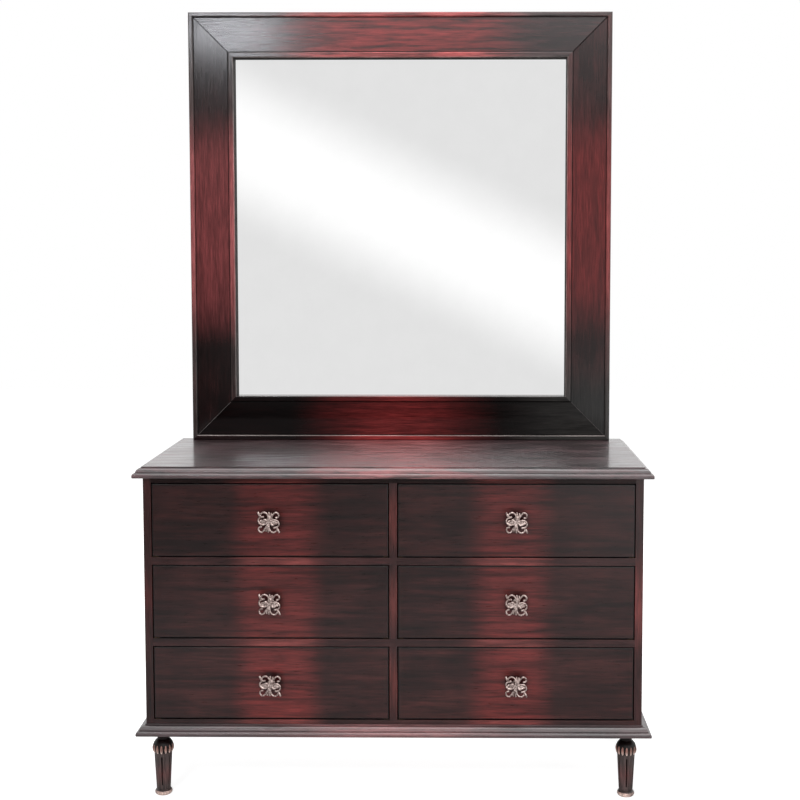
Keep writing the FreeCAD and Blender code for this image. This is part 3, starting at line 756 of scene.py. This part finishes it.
def settle(piece: Piece, body: str, slot: str, *nodes: str) -> None:
    """Lets a piece ride on a body, and stand for CAD nodes where it has any.

    Args:
        piece: the finished piece.
        body: the body it moves with.
        slot: the record's material slot of its finish; not used.
        *nodes: the CAD nodes it stands for.
    """
    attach(piece, body)
    if nodes:
        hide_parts(*nodes)
    LOG.info("%s is fixed on %s and stands for %s", piece.name, body, ", ".join(nodes) or "itself")


def dress(dressing: Dressing) -> None:
    """Gives CAD nodes their finishes.

    Args:
        dressing: each finish, followed by its nodes.
    """
    for finish, *names in dressing:
        for name in names:
            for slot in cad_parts[name].material_slots:
                slot.material = finish.material
            LOG.info("%s is finished in %s", name, finish.name)


@dataclass
class TurnedLeg:
    """A leg with a ring foot, a fluted tapering shaft, a skirt of petals, a domed cap and a neck."""

    height: float = 0.154
    neck_radius: float = 0.013
    cap_radius: float = 0.0255
    cap_rise: float = 0.0285
    cap_centre: float = 0.1095
    dome_rings: int = 10
    dome_step: float = 0.00245
    skirt_low: float = 0.103
    shaft_low_radius: float = 0.0162
    shaft_top_radius: float = 0.0208
    shaft_middle: float = 0.055
    foot_radius: float = 0.0135
    ring_height: float = 0.0125
    ring_radius: float = 0.0203
    rubbed_share: float = 0.75
    flutes: int = 6
    flute_depth: float = 0.0026
    flute_half_width: float = 0.0014
    flute_columns: int = 3
    flute_over_ring: float = 0.011
    flute_under_skirt: float = 0.008
    flute_lip: float = 0.0012
    flute_slope: float = 0.003
    slack: float = 0.0002
    black_depth: float = 0.0010
    petals: int = 14
    petal_half_width: float = 0.0034
    petal_depth: float = 0.0026
    petal_top: float = 0.1282
    petal_low: float = 0.1022
    petal_lean: float = 0.0012
    turn: float = math.radians(2.4)
    crease: float = math.radians(38)
    side: float = 0.547
    front: float = -0.1935
    back: float = 0.1885
    segments: int = 180
    lacquer: Finish = BurstLacquer(
        "leg_lacquer", Axis.Z, 0.052, 0.018, 0.022, dark=(0.045, 0.032, 0.030), brown=(0.060, 0.040, 0.038),
        red=(0.095, 0.042, 0.040))
    cap_shade_and_flutes: Finish = BurstLacquer("leg_cap_shade_and_flute_lacquer", Axis.Z, 0.052, 0.0, 0.01, rough=0.4, gloss=0.2, **BLACK)
    rubbed: Finish = BurstLacquer(
        "rubbed_leg_lacquer", Axis.Z, 0.1035, 0.003, 0.009, Fold.EACH_STOREY, 0.0985, dark=(0.22, 0.10, 0.08),
        brown=(0.28, 0.14, 0.11), red=(0.74, 0.58, 0.52), wander=0.001)

    def shaft_radius(self, height: float) -> float:
        """The plain shaft's radius at a height."""
        share = (height - self.ring_height) / (self.skirt_low - self.ring_height)
        return self.shaft_low_radius + (self.shaft_top_radius - self.shaft_low_radius) * share

    def dome_radius(self, height: float) -> float:
        """The cap's radius at a height."""
        rise = min(1.0, max(0.0, height - self.cap_centre) / self.cap_rise)
        return max(self.cap_radius * math.sqrt(1 - rise ** 2), self.neck_radius)

    def flute_ends(self) -> Span:
        """The heights between which the flutes lie."""
        return self.ring_height + self.flute_over_ring, self.skirt_low - self.flute_under_skirt

    def profile(self) -> list[Span]:
        """The rings of the turned core, from the floor up.

        Returns:
            Radius and height of each ring.
        """
        rings = [(self.foot_radius, 0.0)]
        half = self.ring_height / 2
        for degrees in range(-80, 81, 20):
            angle = math.radians(degrees)
            rings.append((self.ring_radius - half + half * math.cos(angle), half + half * math.sin(angle)))
        rings.append((self.shaft_radius(self.ring_height) - 0.0012, self.ring_height + 0.0004))
        rings.append((self.shaft_radius(self.ring_height), self.ring_height + 0.0022))
        low, high = self.flute_ends()
        rings += [(self.shaft_radius(z), z) for z in (
            low, low + self.flute_lip, low + self.flute_slope,
            *(low + share * (high - low) for share in (0.2, 0.4, 0.6, 0.8)),
            high - self.flute_slope, high - self.flute_lip, high)]
        under = self.cap_radius - self.petal_depth
        rings += [
            (self.shaft_top_radius, self.skirt_low), (under - 0.0015, self.skirt_low + 0.002),
            (under, self.skirt_low + 0.004), (under, self.cap_centre)]
        for step in range(1, self.dome_rings + 1):
            z = self.cap_centre + step * self.dome_step
            rings.append((self.dome_radius(z) - self.petal_depth * max(0.0, 1 - step / 6), z))
        rings.append((self.neck_radius, self.height))
        return rings

    def flute(self, core: Piece) -> None:
        """Sinks the flutes into the shaft, column by column, in two steps so that their ends slope.

        Args:
            core: the turned core, in edit mode.
        """
        low, high = self.flute_ends()
        column = 2 * math.pi / self.segments
        for number in range(self.flutes):
            middle = 2 * math.pi * number / self.flutes - math.pi / 2
            for step in range(-self.flute_columns, self.flute_columns + 1):
                angle = middle + step * column
                away = abs(step) * column * self.shaft_radius(self.shaft_middle)
                depth = self.flute_depth * math.sqrt(max(0.0, 1 - (away / self.flute_half_width) ** 2))
                for end in (self.slack, self.slack + self.flute_lip):
                    pick(core, self.column(angle, low + end, high - end))
                    bpy.ops.transform.translate(value=(
                        -0.5 * depth * math.cos(angle), -0.5 * depth * math.sin(angle), 0))

    def column(self, angle: float, low: float, high: float) -> Callable[[Vector], bool]:
        """A test for the shaft's vertices in one upright line.

        Args:
            angle: where the line is, round the leg.
            low: its lowest height.
            high: its highest height.

        Returns:
            The test.
        """
        across = Vector((-math.sin(angle), math.cos(angle)))
        out = Vector((math.cos(angle), math.sin(angle)))

        def wanted(place: Vector) -> bool:
            """Whether a vertex is in the line."""
            flat = place.to_2d()
            return low < place.z < high and abs(flat.dot(across)) < self.slack / 2 and flat.dot(out) > 0
        return wanted

    def skirt(self) -> Piece:
        """Models one petal from a ball and repeats it round the leg.

        Returns:
            The skirt of petals.
        """
        deselect()
        bpy.ops.mesh.primitive_uv_sphere_add(segments=16, ring_count=14, radius=1, location=(0, 0, 0))
        half = (self.petal_top - self.petal_low) / 2
        petal = shaped("petal", Vector((self.petal_half_width, self.petal_depth, half)),
                       Vector((0, 0, self.petal_low + half)))
        levels = sorted({round(vertex.co.z, 6) for vertex in bmesh.from_edit_mesh(petal.data).verts})
        for level in levels:
            pick(petal, lambda place, level=level: abs(place.z - level) < 1e-5)
            share = (level - self.petal_low) / (2 * half)
            wide = 1.12 - 0.62 * share ** 1.6
            bpy.ops.transform.resize(value=(wide, 1.0, 1.0), center_override=(0, 0, level))
            lean = -self.petal_lean * (1 - share) ** 2
            out = self.dome_radius(level) - self.petal_depth * 0.95 + lean
            bpy.ops.transform.translate(value=(0, -out, 0))
        bpy.ops.mesh.select_all(action="SELECT")
        bpy.ops.mesh.spin(
            steps=self.petals - 1, dupli=True, angle=2 * math.pi * (self.petals - 1) / self.petals,
            center=(0, 0, 0), axis=(0, 0, 1))
        face_outwards()
        deselect()
        return petal

    def colour(self, core: Piece) -> None:
        """Rubs the ring foot, blackens the cap as painted shade under the base board, and blackens the flutes.

        Args:
            core: the turned core.
        """
        for finish in (self.lacquer, self.rubbed, self.cap_shade_and_flutes):
            core.data.materials.append(finish.material)
        low, high = self.flute_ends()
        for face in core.data.polygons:
            z = face.center.z
            sunk = self.shaft_radius(z) - face.center.to_2d().length
            if z < self.ring_height * self.rubbed_share:
                face.material_index = 1
            # painted shade: the cap above the skirt is blackened, as it lies in the base board's shade; the sunk
            # flutes are blackened too
            elif z > self.skirt_low or (low < z < high and sunk > self.black_depth):
                face.material_index = 2

    def build(self) -> None:
        """Models the leg once and stands it at the four corners."""
        core = turned("leg", self.profile(), self.segments)
        self.flute(core)
        deselect()
        self.colour(core)
        skirt = self.skirt()
        skirt.data.materials.append(self.rubbed.material)
        joined(self.crease, core, skirt)
        for end, y in (("front", self.front), ("back", self.back)):
            for column, sign in zip(COLUMNS, (-1, 1)):
                node = f"leg_{end}_{column}"
                place = Matrix.Translation((sign * self.side, y, 0)) @ Matrix.Rotation(-sign * self.turn, 4, "Z")
                settle(copied(core, f"turned_{node}", place), ROOT_BODY, "lacquered_wood", node)
        bpy.data.objects.remove(core)


@dataclass
class ScrollPull:
    """A square openwork pull of cast scrolls on a post, with the screw that holds it.

    The strips are the middle lines of half the scrolls, and the curl ends and eyes their lumps, in millimetres from
    the pull's centre. The other half is the same, turned round.
    """

    reach: float = 0.0215
    strip_radius: float = 0.0021
    strip_lift: float = 0.0011
    ball_radius: float = 0.0027
    ball_squash: float = 0.85
    eye_radius: float = 0.0054
    eye_squash: float = 0.28
    boss_radius: float = 0.0058
    boss_squash: float = 0.45
    post_radius: float = 0.0055
    post_length: float = 0.0205
    post_segments: int = 48
    foot_radius: float = 0.0085
    foot_height: float = 0.0025
    foot_soft: float = 0.0006
    screw_radius: float = 0.002
    screw_head_radius: float = 0.004
    screw_head_height: float = 0.0026
    screw_segments: int = 32
    front_thickness: float = 0.018
    grain: float = 0.00042
    crease: float = math.radians(50)
    pewter: Finish = CastMetal("pewter", (0.62, 0.50, 0.465), (0.17, 0.12, 0.108), 0.36)
    curl_ends: Points = ((-12.6, 12.5), (-17.8, -10.6))
    eyes: Points = ((-16.0, 0.8), (-10.6, 0.9))
    strips: tuple[Points, ...] = (
        ((0.5, 2), (-0.9, 8), (-1.4, 14.5), (-3.6, 19.3), (-7, 22.3), (-10.5, 23.4), (-14.2, 22.6), (-17.4, 20),
         (-19.3, 16.5), (-18.2, 13.4), (-14.5, 12.3), (-11.6, 12.2)),
        ((-24.4, 24.0), (-22.6, 19.8), (-20.6, 14.0)),
        ((-0.8, 1), (-4.1, -1.6), (-8.6, -4.6), (-15.2, -5.4), (-21, -2.5), (-23.6, 3.2), (-22.4, 8.2),
         (-19.3, 10.8), (-15.2, 11.2)),
        ((-4.5, 1.6), (-8.4, 6.4), (-12.6, 5.0), (-17.2, 2.4), (-19.8, 3.4)),
        ((-3.8, -8), (-7.9, -14.2), (-11.4, -19.3), (-16.4, -22.8), (-21.2, -20.9), (-23.4, -15.7),
         (-21.5, -11.8), (-17.7, -10.7)),
        ((-0.5, -2), (-4.1, -8.4), (-5.9, -14.8), (-6.4, -22.0)),
        ((0, -4), (-1.4, -10.2), (-1.4, -17), (-0.5, -23.6)),
    )

    def strip(self, points: Points) -> Piece:
        """One round bar through the points, with a fuller end.

        Args:
            points: its middle line, in millimetres.

        Returns:
            The bar.
        """
        line = bpy.data.curves.new("strip", "CURVE")
        line.dimensions = "3D"
        line.bevel_depth = self.strip_radius
        line.bevel_resolution = 3
        line.use_fill_caps = True
        spline = line.splines.new("BEZIER")
        spline.bezier_points.add(len(points) - 1)
        for number, (point, (across, up)) in enumerate(zip(spline.bezier_points, points)):
            lift = self.strip_lift * math.sin(math.pi * min(1.0, number / (len(points) - 1) * 1.3))
            point.co = (across / PER_METRE, -self.reach - lift, up / PER_METRE)
            point.handle_left_type = point.handle_right_type = "AUTO"
            point.radius = 1.12 if number < 2 else 0.92
        piece = bpy.data.objects.new("strip", line)
        bpy.context.scene.collection.objects.link(piece)
        select_only(piece)
        bpy.ops.object.convert(target="MESH")
        return bpy.context.object

    def ball(self, place: Span, radius: float, squash: float) -> Piece:
        """A rounded lump at the end of a scroll or at the pull's middle.

        Args:
            place: its place to the right and upwards, in millimetres.
            radius: its radius.
            squash: its depth as a share of its radius.

        Returns:
            The lump.
        """
        deselect()
        bpy.ops.mesh.primitive_uv_sphere_add(segments=20, ring_count=14, radius=radius, location=(0, 0, 0))
        across, up = place
        lump = shaped("lump", Vector((1, squash, 1)), Vector((across / PER_METRE, -self.reach, up / PER_METRE)))
        deselect()
        return lump

    def plate(self) -> Piece:
        """All the scrolls, run together as one casting.

        Returns:
            The openwork plate.
        """
        pieces = [self.strip(points) for points in self.strips]
        pieces += [self.ball(place, self.ball_radius, self.ball_squash) for place in self.curl_ends]
        pieces += [self.ball(place, self.eye_radius, self.eye_squash) for place in self.eyes]
        pieces += [copied(piece, "turned_strip", Matrix.Rotation(math.pi, 4, "Y")) for piece in pieces]
        pieces.append(self.ball((0, 0), self.boss_radius, self.boss_squash))
        select_only(*pieces)
        bpy.ops.object.join()
        plate = bpy.context.object
        apply_modifier(plate, "REMESH", mode="VOXEL", voxel_size=self.grain)
        apply_modifier(plate, "SMOOTH", factor=0.6, iterations=4)
        plate.data.materials.clear()
        return plate

    def post(self) -> Piece:
        """The turned post, with its foot on the drawer front.

        Returns:
            The post, laid along Y.
        """
        post = turned("post", [
            (self.foot_radius, 0.0), (self.foot_radius, self.foot_height - self.foot_soft),
            (self.foot_radius - self.foot_soft, self.foot_height), (self.post_radius + 0.0012, self.foot_height),
            (self.post_radius, self.foot_height + 0.0015), (self.post_radius * 0.82, self.post_length * 0.55),
            (self.post_radius, self.post_length),
        ], self.post_segments)
        deselect()
        post.data.transform(Matrix.Rotation(math.pi / 2, 4, "X"))
        return post

    def screw(self) -> Piece:
        """The screw through the drawer front, with its domed head inside the drawer.

        Returns:
            The screw, laid along Y.
        """
        radius, height, deep = self.screw_head_radius, self.screw_head_height, self.front_thickness
        screw = turned("pull_screw", [
            (self.screw_radius, -deep), (self.screw_radius, -0.0002), (radius, 0.0), (radius, height * 0.45),
            (radius * 0.8, height * 0.85), (radius * 0.35, height),
        ], self.screw_segments)
        deselect()
        screw.data.transform(Matrix.Translation((0, deep, 0)) @ Matrix.Rotation(-math.pi / 2, 4, "X"))
        return screw

    def build(self) -> None:
        """Models the pull once and fixes one on each drawer."""
        pull, post, screw = self.plate(), self.post(), self.screw()
        for part, finish in ((pull, self.pewter), (post, self.pewter), (screw, STEEL)):
            part.data.materials.append(finish.material)
        joined(self.crease, pull, post, screw)
        for body in DRAWERS:
            low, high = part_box(f"{body}_front")
            middle = (low + high) / 2
            place = Matrix.Translation((middle.x, low.y, middle.z))
            settle(copied(pull, f"{body}_scroll_pull", place), body, "pewter", f"{body}_pull")
        bpy.data.objects.remove(pull)


@dataclass
class Carcass:
    """The case: boards, rails, partition, back and what is screwed to them."""

    dressing: Dressing = (
        (BurstLacquer("top_lacquer", Axis.X, 0.0, 0.14, 0.13, red=(0.180, 0.060, 0.061), rough=0.48, gloss=0.72,
                      streak=0.95, figure=(10, 92), relief=0.00006, ripple=0.0019, coat=0.55, patchy=0.16, **BOARD),
         "top_panel"),
        (BurstLacquer("base_lacquer", Axis.X, 0.0, 0.18, 0.20, red=(0.155, 0.052, 0.053), gloss=1.0, **BOARD),
         "base_board"),
        (BurstLacquer("left_side_lacquer", Axis.Z, 0.47, 0.0, 0.12), "left_side_panel"),
        (BurstLacquer("right_side_lacquer", Axis.Z, 0.47, 0.07, 0.08, **RAIL), "right_side_panel"),
        (BurstLacquer("stile_lacquer", Axis.Z, LOWEST_STOREY, 0.05, 0.04, Fold.EACH_STOREY,
                      red=(0.075, 0.014, 0.012), painted_edge_shade=True, **WARM), "centre_partition"),
        # painted shadow: the top rail is a darker copy of the rail lacquer, for the shade under the top's overhang
        (BurstLacquer("top_rail_shadow_lacquer", *OVER_PULLS, dark=(0.008, 0.003, 0.003), brown=(0.013, 0.004, 0.004),
                      red=(0.06, 0.010, 0.009), gloss=0.18), "top_rail"),
        (BurstLacquer("rail_lacquer", *OVER_PULLS, painted_edge_shade=True, **RAIL),
         "upper_rail", "lower_rail", "bottom_rail"),
        (BareWood("carcass_wood", Axis.Y, TAN, BARK), "drawer_runners", "drawer_kickers"),
        (DRAWER_BACK_WOOD, "drawer_stops", "back_rail"),
        (HARDBOARD, "back_panel"),
        (STEEL, "carcass_screws", "leg_bolts"),
    )

    def build(self) -> None:
        """Dresses the carcass."""
        dress(self.dressing)


@dataclass
class Drawers:
    """The six drawers without their pulls."""

    left: Finish = BurstLacquer("left_drawer_lacquer", Axis.X, -0.270, 0.083, 0.040, **FRONT)
    right: Finish = BurstLacquer("right_drawer_lacquer", Axis.X, 0.274, 0.073, 0.040, **FRONT)

    def build(self) -> None:
        """Dresses the drawers."""
        for body in DRAWERS:
            dress((
                (self.left if "left" in body else self.right, f"{body}_front"), (DRAWER_WOOD, f"{body}_sides"),
                (DRAWER_BACK_WOOD, f"{body}_back", f"{body}_bottom")))


@dataclass
class Mirror:
    """The framed mirror and what holds it up."""

    half_width: float = 0.549
    low: float = 0.786
    high: float = 1.900
    face: float = 0.116
    flat: float = 0.2015
    bead: float = 0.2003
    glass: float = 0.2185
    lining: float = 0.0004
    line_start: float = 0.014
    line_end: float = 0.100
    line_width: float = 0.0021
    line_depth: float = 0.0004
    highlight_line_share: float = 0.5
    seam: Finish = BurstLacquer("seam_lacquer", Axis.Y, 0.0, 0.0, 0.01, rough=0.8, gloss=0.0, **BLACK)
    # painted highlight: the pale lines in the bottom mitres stand in for the light caught by the groove's
    # upward-facing wall
    painted_highlight_seam: Finish = BurstLacquer(
        "painted_highlight_seam_lacquer", Axis.Y, 0.0, 0.0, 0.01, dark=(0.07, 0.063, 0.062), brown=(0.10, 0.09, 0.088),
        rough=0.6, gloss=0.2)
    # painted shade: dark matt slips on the inner walls that face away from the light; the bottom wall, which faces
    # up, is left lit
    matt: Finish = BareWood("shade_lining", Axis.Z, (0.035, 0.032, 0.030), (0.018, 0.016, 0.015), 0.02)
    dressing: Dressing = (
        (BurstLacquer(
            "frame_top_lacquer", Axis.X, 0.0, 0.253, 0.105, dark=(0.011, 0.0042, 0.0046),
            brown=(0.024, 0.0080, 0.0085), red=RUBY, painted_sheen_tint=(0.012, 0.0105, 0.0120), painted_sheen_span=(-0.28, -0.46),
            mitre=MitredFrame(), **{**FRAMING, "gloss": 0.42, "streak": 0.9}), "mirror_frame_top"),
        (BurstLacquer(
            "frame_bottom_lacquer", Axis.X, -0.01, 0.149, 0.14, red=RUBY, painted_sheen_tint=(0.018, 0.0165, 0.0155),
            painted_sheen_span=(0.25, 0.44), rough=0.08, gloss=0.12, streak=0.45, ripple=0.000006, relief=0.000003,
            # the bottom member paints light: a painted highlight on the outer quirk's wall and on the upward-facing
            # inner wall, and a brighter outer bead, partly painted highlight
            mitre=MitredFrame(
                wear_and_highlight=((0.0, 0.0), (0.0106, 0.5), (0.0121, 0.0), (0.1136, 0.1), (0.1157, 0.8)),
                matt=((0.0, 0.0), (0.0121, 1.0), (0.0140, 0.0), (0.1000, 1.0), (0.1020, 0.0)),
                painted_light_and_shade=((0.0, 2.4), (0.0121, 0.10), (0.0140, 1.0), (0.1000, 0.10), (0.1020, 1.2))),
            **BLACK), "mirror_frame_bottom"),
        (BurstLacquer(
            "frame_left_lacquer", Axis.Z, 1.345, 0.235, 0.09, dark=(0.005, 0.0018, 0.0018),
            brown=(0.012, 0.0035, 0.0035), red=(0.112, 0.023, 0.024), painted_sheen_tint=(0.012, 0.0105, 0.0110),
            painted_sheen_span=(1.66, 1.84), mitre=MitredFrame(),
            **{**FRAMING, "rough": 0.14, "gloss": 0.25, "relief": 0.000006}), "mirror_frame_left"),
        (BurstLacquer(
            "frame_right_lacquer", Axis.Z, 1.369, 0.24, 0.10, dark=(0.010, 0.0032, 0.0032),
            brown=(0.030, 0.0085, 0.0085), red=(0.088, 0.011, 0.011), painted_sheen_tint=(0.0135, 0.0125, 0.0118),
            painted_sheen_span=(1.04, 0.88), mitre=MitredFrame(), **FRAMING), "mirror_frame_right"),
        (SilveredGlass("mirror", (0.93, 0.93, 0.93)), "mirror_glass"),
        (HARDBOARD, "mirror_backing_board"),
        (BareWood("batten_wood", Axis.Z, TAN, BARK), "mirror_battens"),
        (STEEL, "mirror_clips", "batten_screws"),
    )

    def shade_lining(self) -> None:
        """Lines the frame's inner wall with thin dark matt slips, at both sides and over the glass, as painted shade
        on the walls that face away from the light.
        """
        side, foot, head = self.half_width - self.face, self.low + self.face, self.high - self.face
        thin = self.lining
        for end, left, right, bottom in (
            ("left", -side, thin - side, foot), ("right", side - thin, side, foot),
            ("top", thin - side, side - thin, head - thin),
        ):
            slip = block(f"shade_lining_{end}", Vector((left, self.bead, bottom)), Vector((right, self.glass, head)))
            slip.data.materials.append(self.matt.material)
            settle(slip, ROOT_BODY, "lacquered_wood")

    def mitre_lines(self) -> None:
        """Models the line of one mitre and lays it into the frame's corners: a dark joint line above, and below a
        pale line that is a painted highlight where the groove's upward wall catches the light.
        """
        length = math.sqrt(2) * (self.line_end - self.line_start)
        corner = Vector((length, self.line_depth, self.line_width)) / 2
        line = block("mitre_line", -corner, corner)
        middle = (self.line_start + self.line_end) / 2
        for column, side in zip(COLUMNS, (-1, 1)):
            for end, edge, up, thin, finish in (
                ("bottom", self.low, -1, self.highlight_line_share, self.painted_highlight_seam), ("top", self.high, 1, 1.0, self.seam),
            ):
                place = Matrix.Translation((side * (self.half_width - middle), self.flat, edge - up * middle))
                turn = Matrix.Rotation(-side * up * math.pi / 4, 4, "Y")
                shape = Matrix.Diagonal((1.0, 1.0, thin, 1.0))
                twin = copied(line, f"mitre_line_{end}_{column}", place @ turn @ shape)
                twin.data.materials.append(finish.material)
                settle(twin, ROOT_BODY, "lacquered_wood")
        bpy.data.objects.remove(line)

    def build(self) -> None:
        """Dresses the mirror."""
        dress(self.dressing)
        self.mitre_lines()
        self.shade_lining()


@dataclass
class Softbox:
    """One large soft lamp."""

    name: str
    place: tuple[float, float, float]
    target: tuple[float, float, float]
    width: float
    height: float
    power: float
    shines: bool = True
    colour: Colour = WHITE

    def build(self) -> None:
        """Hangs the lamp and points it at its target."""
        lamp = bpy.data.lights.new(self.name, "AREA")
        lamp.shape = "RECTANGLE"
        lamp.size, lamp.size_y = self.width, self.height
        lamp.energy = self.power
        lamp.color = self.colour
        holder = bpy.data.objects.new(self.name, lamp)
        bpy.context.scene.collection.objects.link(holder)
        holder.visible_glossy = self.shines
        aim = Vector(self.target) - Vector(self.place)
        holder.matrix_world = Matrix.Translation(self.place) @ aim.to_track_quat("-Z", "Y").to_matrix().to_4x4()
        LOG.info("lamp %s", self.name)


@dataclass
class Studio:
    """The pale floor, white surroundings, soft lamps and the camera.

    The spans of the surroundings are tangents to the right and upwards, as seen from the mirror.
    """

    face: float = -0.2215
    camera_place: tuple[float, float, float] = (0.14584, -2.88107, 1.27580)
    pitch: float = 0.0643
    yaw: float = 0.0096
    focal_px: float = 1260.5
    centre_px: Span = (444.1, 335.2)
    picture: int = 800
    sensor: float = 36.0
    view_end: float = 50.0
    floor_size: Span = (14.0, 11.0)
    floor_back: float = 3.2
    floor_colour: Colour = (0.62, 0.62, 0.62)
    floor_glow: float = 0.84
    ambient: float = 0.30
    wall: float = 0.826
    band: float = 1.10
    band_slope: float = 0.48
    band_rise: float = 0.0065
    band_edge: Span = (0.014, 0.075)
    low: float = 0.03
    low_right: float = 1.8
    low_span: Span = (0.02, 0.14)
    glass_foot: Span = (-0.130, -0.114)
    glass_head: Span = (0.156, 0.18)
    glass_left: Span = (-0.195, -0.177)
    glass_right: Span = (0.088, 0.16)
    left_of_mirror: Span = (0.05, 0.8)
    left_heights: Span = (-0.10, 0.13)
    right_of_mirror: float = 1.3
    high: float = 4.2
    high_left: float = 0.55
    high_left_span: Span = (-0.22, -0.06)
    overhead: float = 0.5
    overhead_span: Span = (0.25, 0.35)
    far_left: float = 0.80
    far_left_span: Span = (-0.62, -0.34)
    behind: float = 1.35

    def camera(self) -> None:
        """Sets up the camera at the photograph's viewing angle."""
        lens = bpy.data.cameras.new("camera")
        lens.sensor_width = self.sensor
        lens.lens = self.focal_px * self.sensor / self.picture
        lens.shift_x = (self.picture / 2 - self.centre_px[0]) / self.picture
        lens.shift_y = (self.centre_px[1] - self.picture / 2) / self.picture
        lens.clip_end = self.view_end
        holder = bpy.data.objects.new("camera", lens)
        x, y, z = self.camera_place
        holder.location = (x, y + self.face, z)
        holder.rotation_euler = (math.pi / 2 - self.pitch, 0.0, self.yaw)
        bpy.context.scene.collection.objects.link(holder)
        bpy.context.scene.camera = holder

    def floor(self) -> None:
        """Lays a wide pale floor that shows white to the camera and still takes the shadow."""
        deselect()
        bpy.ops.mesh.primitive_plane_add(size=1, location=(0, 0, 0))
        floor = bpy.context.object
        floor.name = "studio_floor"
        floor.data.transform(
            Matrix.Translation((0, self.floor_back, 0)) @ Matrix.Diagonal((*self.floor_size, 1.0, 1.0)))
        recipe = Recipe("studio_floor")
        rays = recipe.add("ShaderNodeLightPath").outputs
        seen = recipe.math("MAXIMUM", rays["Is Camera Ray"], rays["Is Transmission Ray"])
        floor.data.materials.append(recipe.finished(
            Base_Color=self.floor_colour, Roughness=1.0, Specular_IOR_Level=0.0, Emission_Color=WHITE,
            Emission_Strength=recipe.times(seen, self.floor_glow)))

    def front(self, nodes: Nodes, right: Socket, up: Socket) -> Socket:
        """How bright the studio is in front of the mirror: a lit wall with a slanting band, dark at its foot.

        Args:
            nodes: the surroundings' nodes.
            right: the tangent to the right.
            up: the tangent upwards.

        Returns:
            The brightness's socket.
        """
        slant = nodes.math("SUBTRACT", nodes.math("MULTIPLY_ADD", right, self.band_slope, up), self.band_rise)
        lit = nodes.ramp(nodes.math("ABSOLUTE", slant), *self.band_edge, self.band, self.wall)
        floor_side = nodes.ramp(right, *self.low_span, self.low, self.low_right)
        above = nodes.ramp(up, *self.glass_foot)
        wall = nodes.math("ADD", nodes.times(lit, above), nodes.times(floor_side, nodes.rest(above)))
        inside = nodes.ramp(right, *self.glass_left)
        left_side = nodes.ramp(up, *self.left_heights, *self.left_of_mirror)
        not_high = nodes.ramp(up, *self.glass_head, 1.0, 0.0)
        wall = nodes.times(
            wall,
            nodes.math("MULTIPLY_ADD", nodes.rest(inside), left_side, inside),
            nodes.ramp(right, *self.glass_right, 1.0, self.right_of_mirror),
            nodes.ramp(up, *self.glass_head, 1.0, self.high),
            nodes.ramp(up, *self.overhead_span, 1.0, self.overhead),
            nodes.math("MAXIMUM", nodes.ramp(right, *self.high_left_span, self.high_left), not_high))
        return nodes.math("MAXIMUM", wall, nodes.ramp(right, *self.far_left_span, self.far_left, 0.0))

    def surroundings(self) -> None:
        """White all round for the camera, with the studio's lit wall in front of the mirror for reflections."""
        world = bpy.data.worlds.new("studio")
        bpy.context.scene.world = world
        world.use_nodes = True
        nodes = Nodes(world.node_tree)
        way = nodes.parts(nodes.add("ShaderNodeTexCoord").outputs["Generated"])
        depth = nodes.math("MAXIMUM", nodes.math("ABSOLUTE", way[Axis.Y]), 0.05)
        front = self.front(
            nodes, nodes.math("DIVIDE", way[Axis.X], depth), nodes.math("DIVIDE", way[Axis.Z], depth))
        behind = nodes.math("GREATER_THAN", way[Axis.Y], 0.0)
        mirrored = nodes.math("MULTIPLY_ADD", behind, self.behind, nodes.times(nodes.rest(behind), front))
        rays = nodes.add("ShaderNodeLightPath").outputs
        clear = nodes.math("MAXIMUM", rays["Is Camera Ray"], rays["Is Transmission Ray"])
        glossy = rays["Is Glossy Ray"]
        plain = nodes.times(nodes.rest(nodes.math("MAXIMUM", clear, glossy)), self.ambient)
        strength = nodes.math("ADD", nodes.math("ADD", clear, plain), nodes.times(glossy, mirrored))
        glow = nodes.add("ShaderNodeBackground", Color=WHITE, Strength=strength)
        nodes.add("ShaderNodeOutputWorld", Surface=glow.outputs[0])

    def lamps(self) -> None:
        """Hangs the soft lamps."""
        for lamp in (
            Softbox("overhead", (0.0, -0.5, 3.4), (0.0, 0.0, 0.5), 2.6, 1.8, 62.0),
            Softbox("upper_left", (-1.45, -3.1, 2.70), (-0.4, 0.0, 1.6), 1.0, 0.7, 40.0, False),
            Softbox("corner_sheen", (-1.03, -3.1, 2.43), (-0.43, 0.2, 1.85), 0.46, 0.16, 9.0,
                    colour=(0.93, 0.94, 1.0)),
            Softbox("right", (2.8, -3.0, 1.5), (0.0, 0.0, 0.6), 1.2, 1.6, 17.0, False),
            Softbox("floor_reflector", (0.0, -1.7, 0.12), (0.0, -0.2, 0.75), 2.6, 0.5, 19.0, False),
            Softbox("back", (0.0, 3.4, 1.9), (0.0, 0.2, 1.0), 2.4, 2.0, 70.0, False),
        ):
            lamp.build()

    def build(self) -> None:
        """Sets up the whole studio."""
        bpy.context.scene.view_settings.view_transform = "Standard"
        self.camera()
        self.floor()
        self.surroundings()
        self.lamps()


def main() -> None:
    """Dresses the object, piece by piece, and builds the studio."""
    logging.basicConfig(level=logging.INFO, format="%(name)s: %(message)s")
    for part in (Carcass(), Drawers(), Mirror(), TurnedLeg(), ScrollPull(), Studio()):
        part.build()
        LOG.info("%s is done", type(part).__name__)


if __name__ == "__main__":
    main()
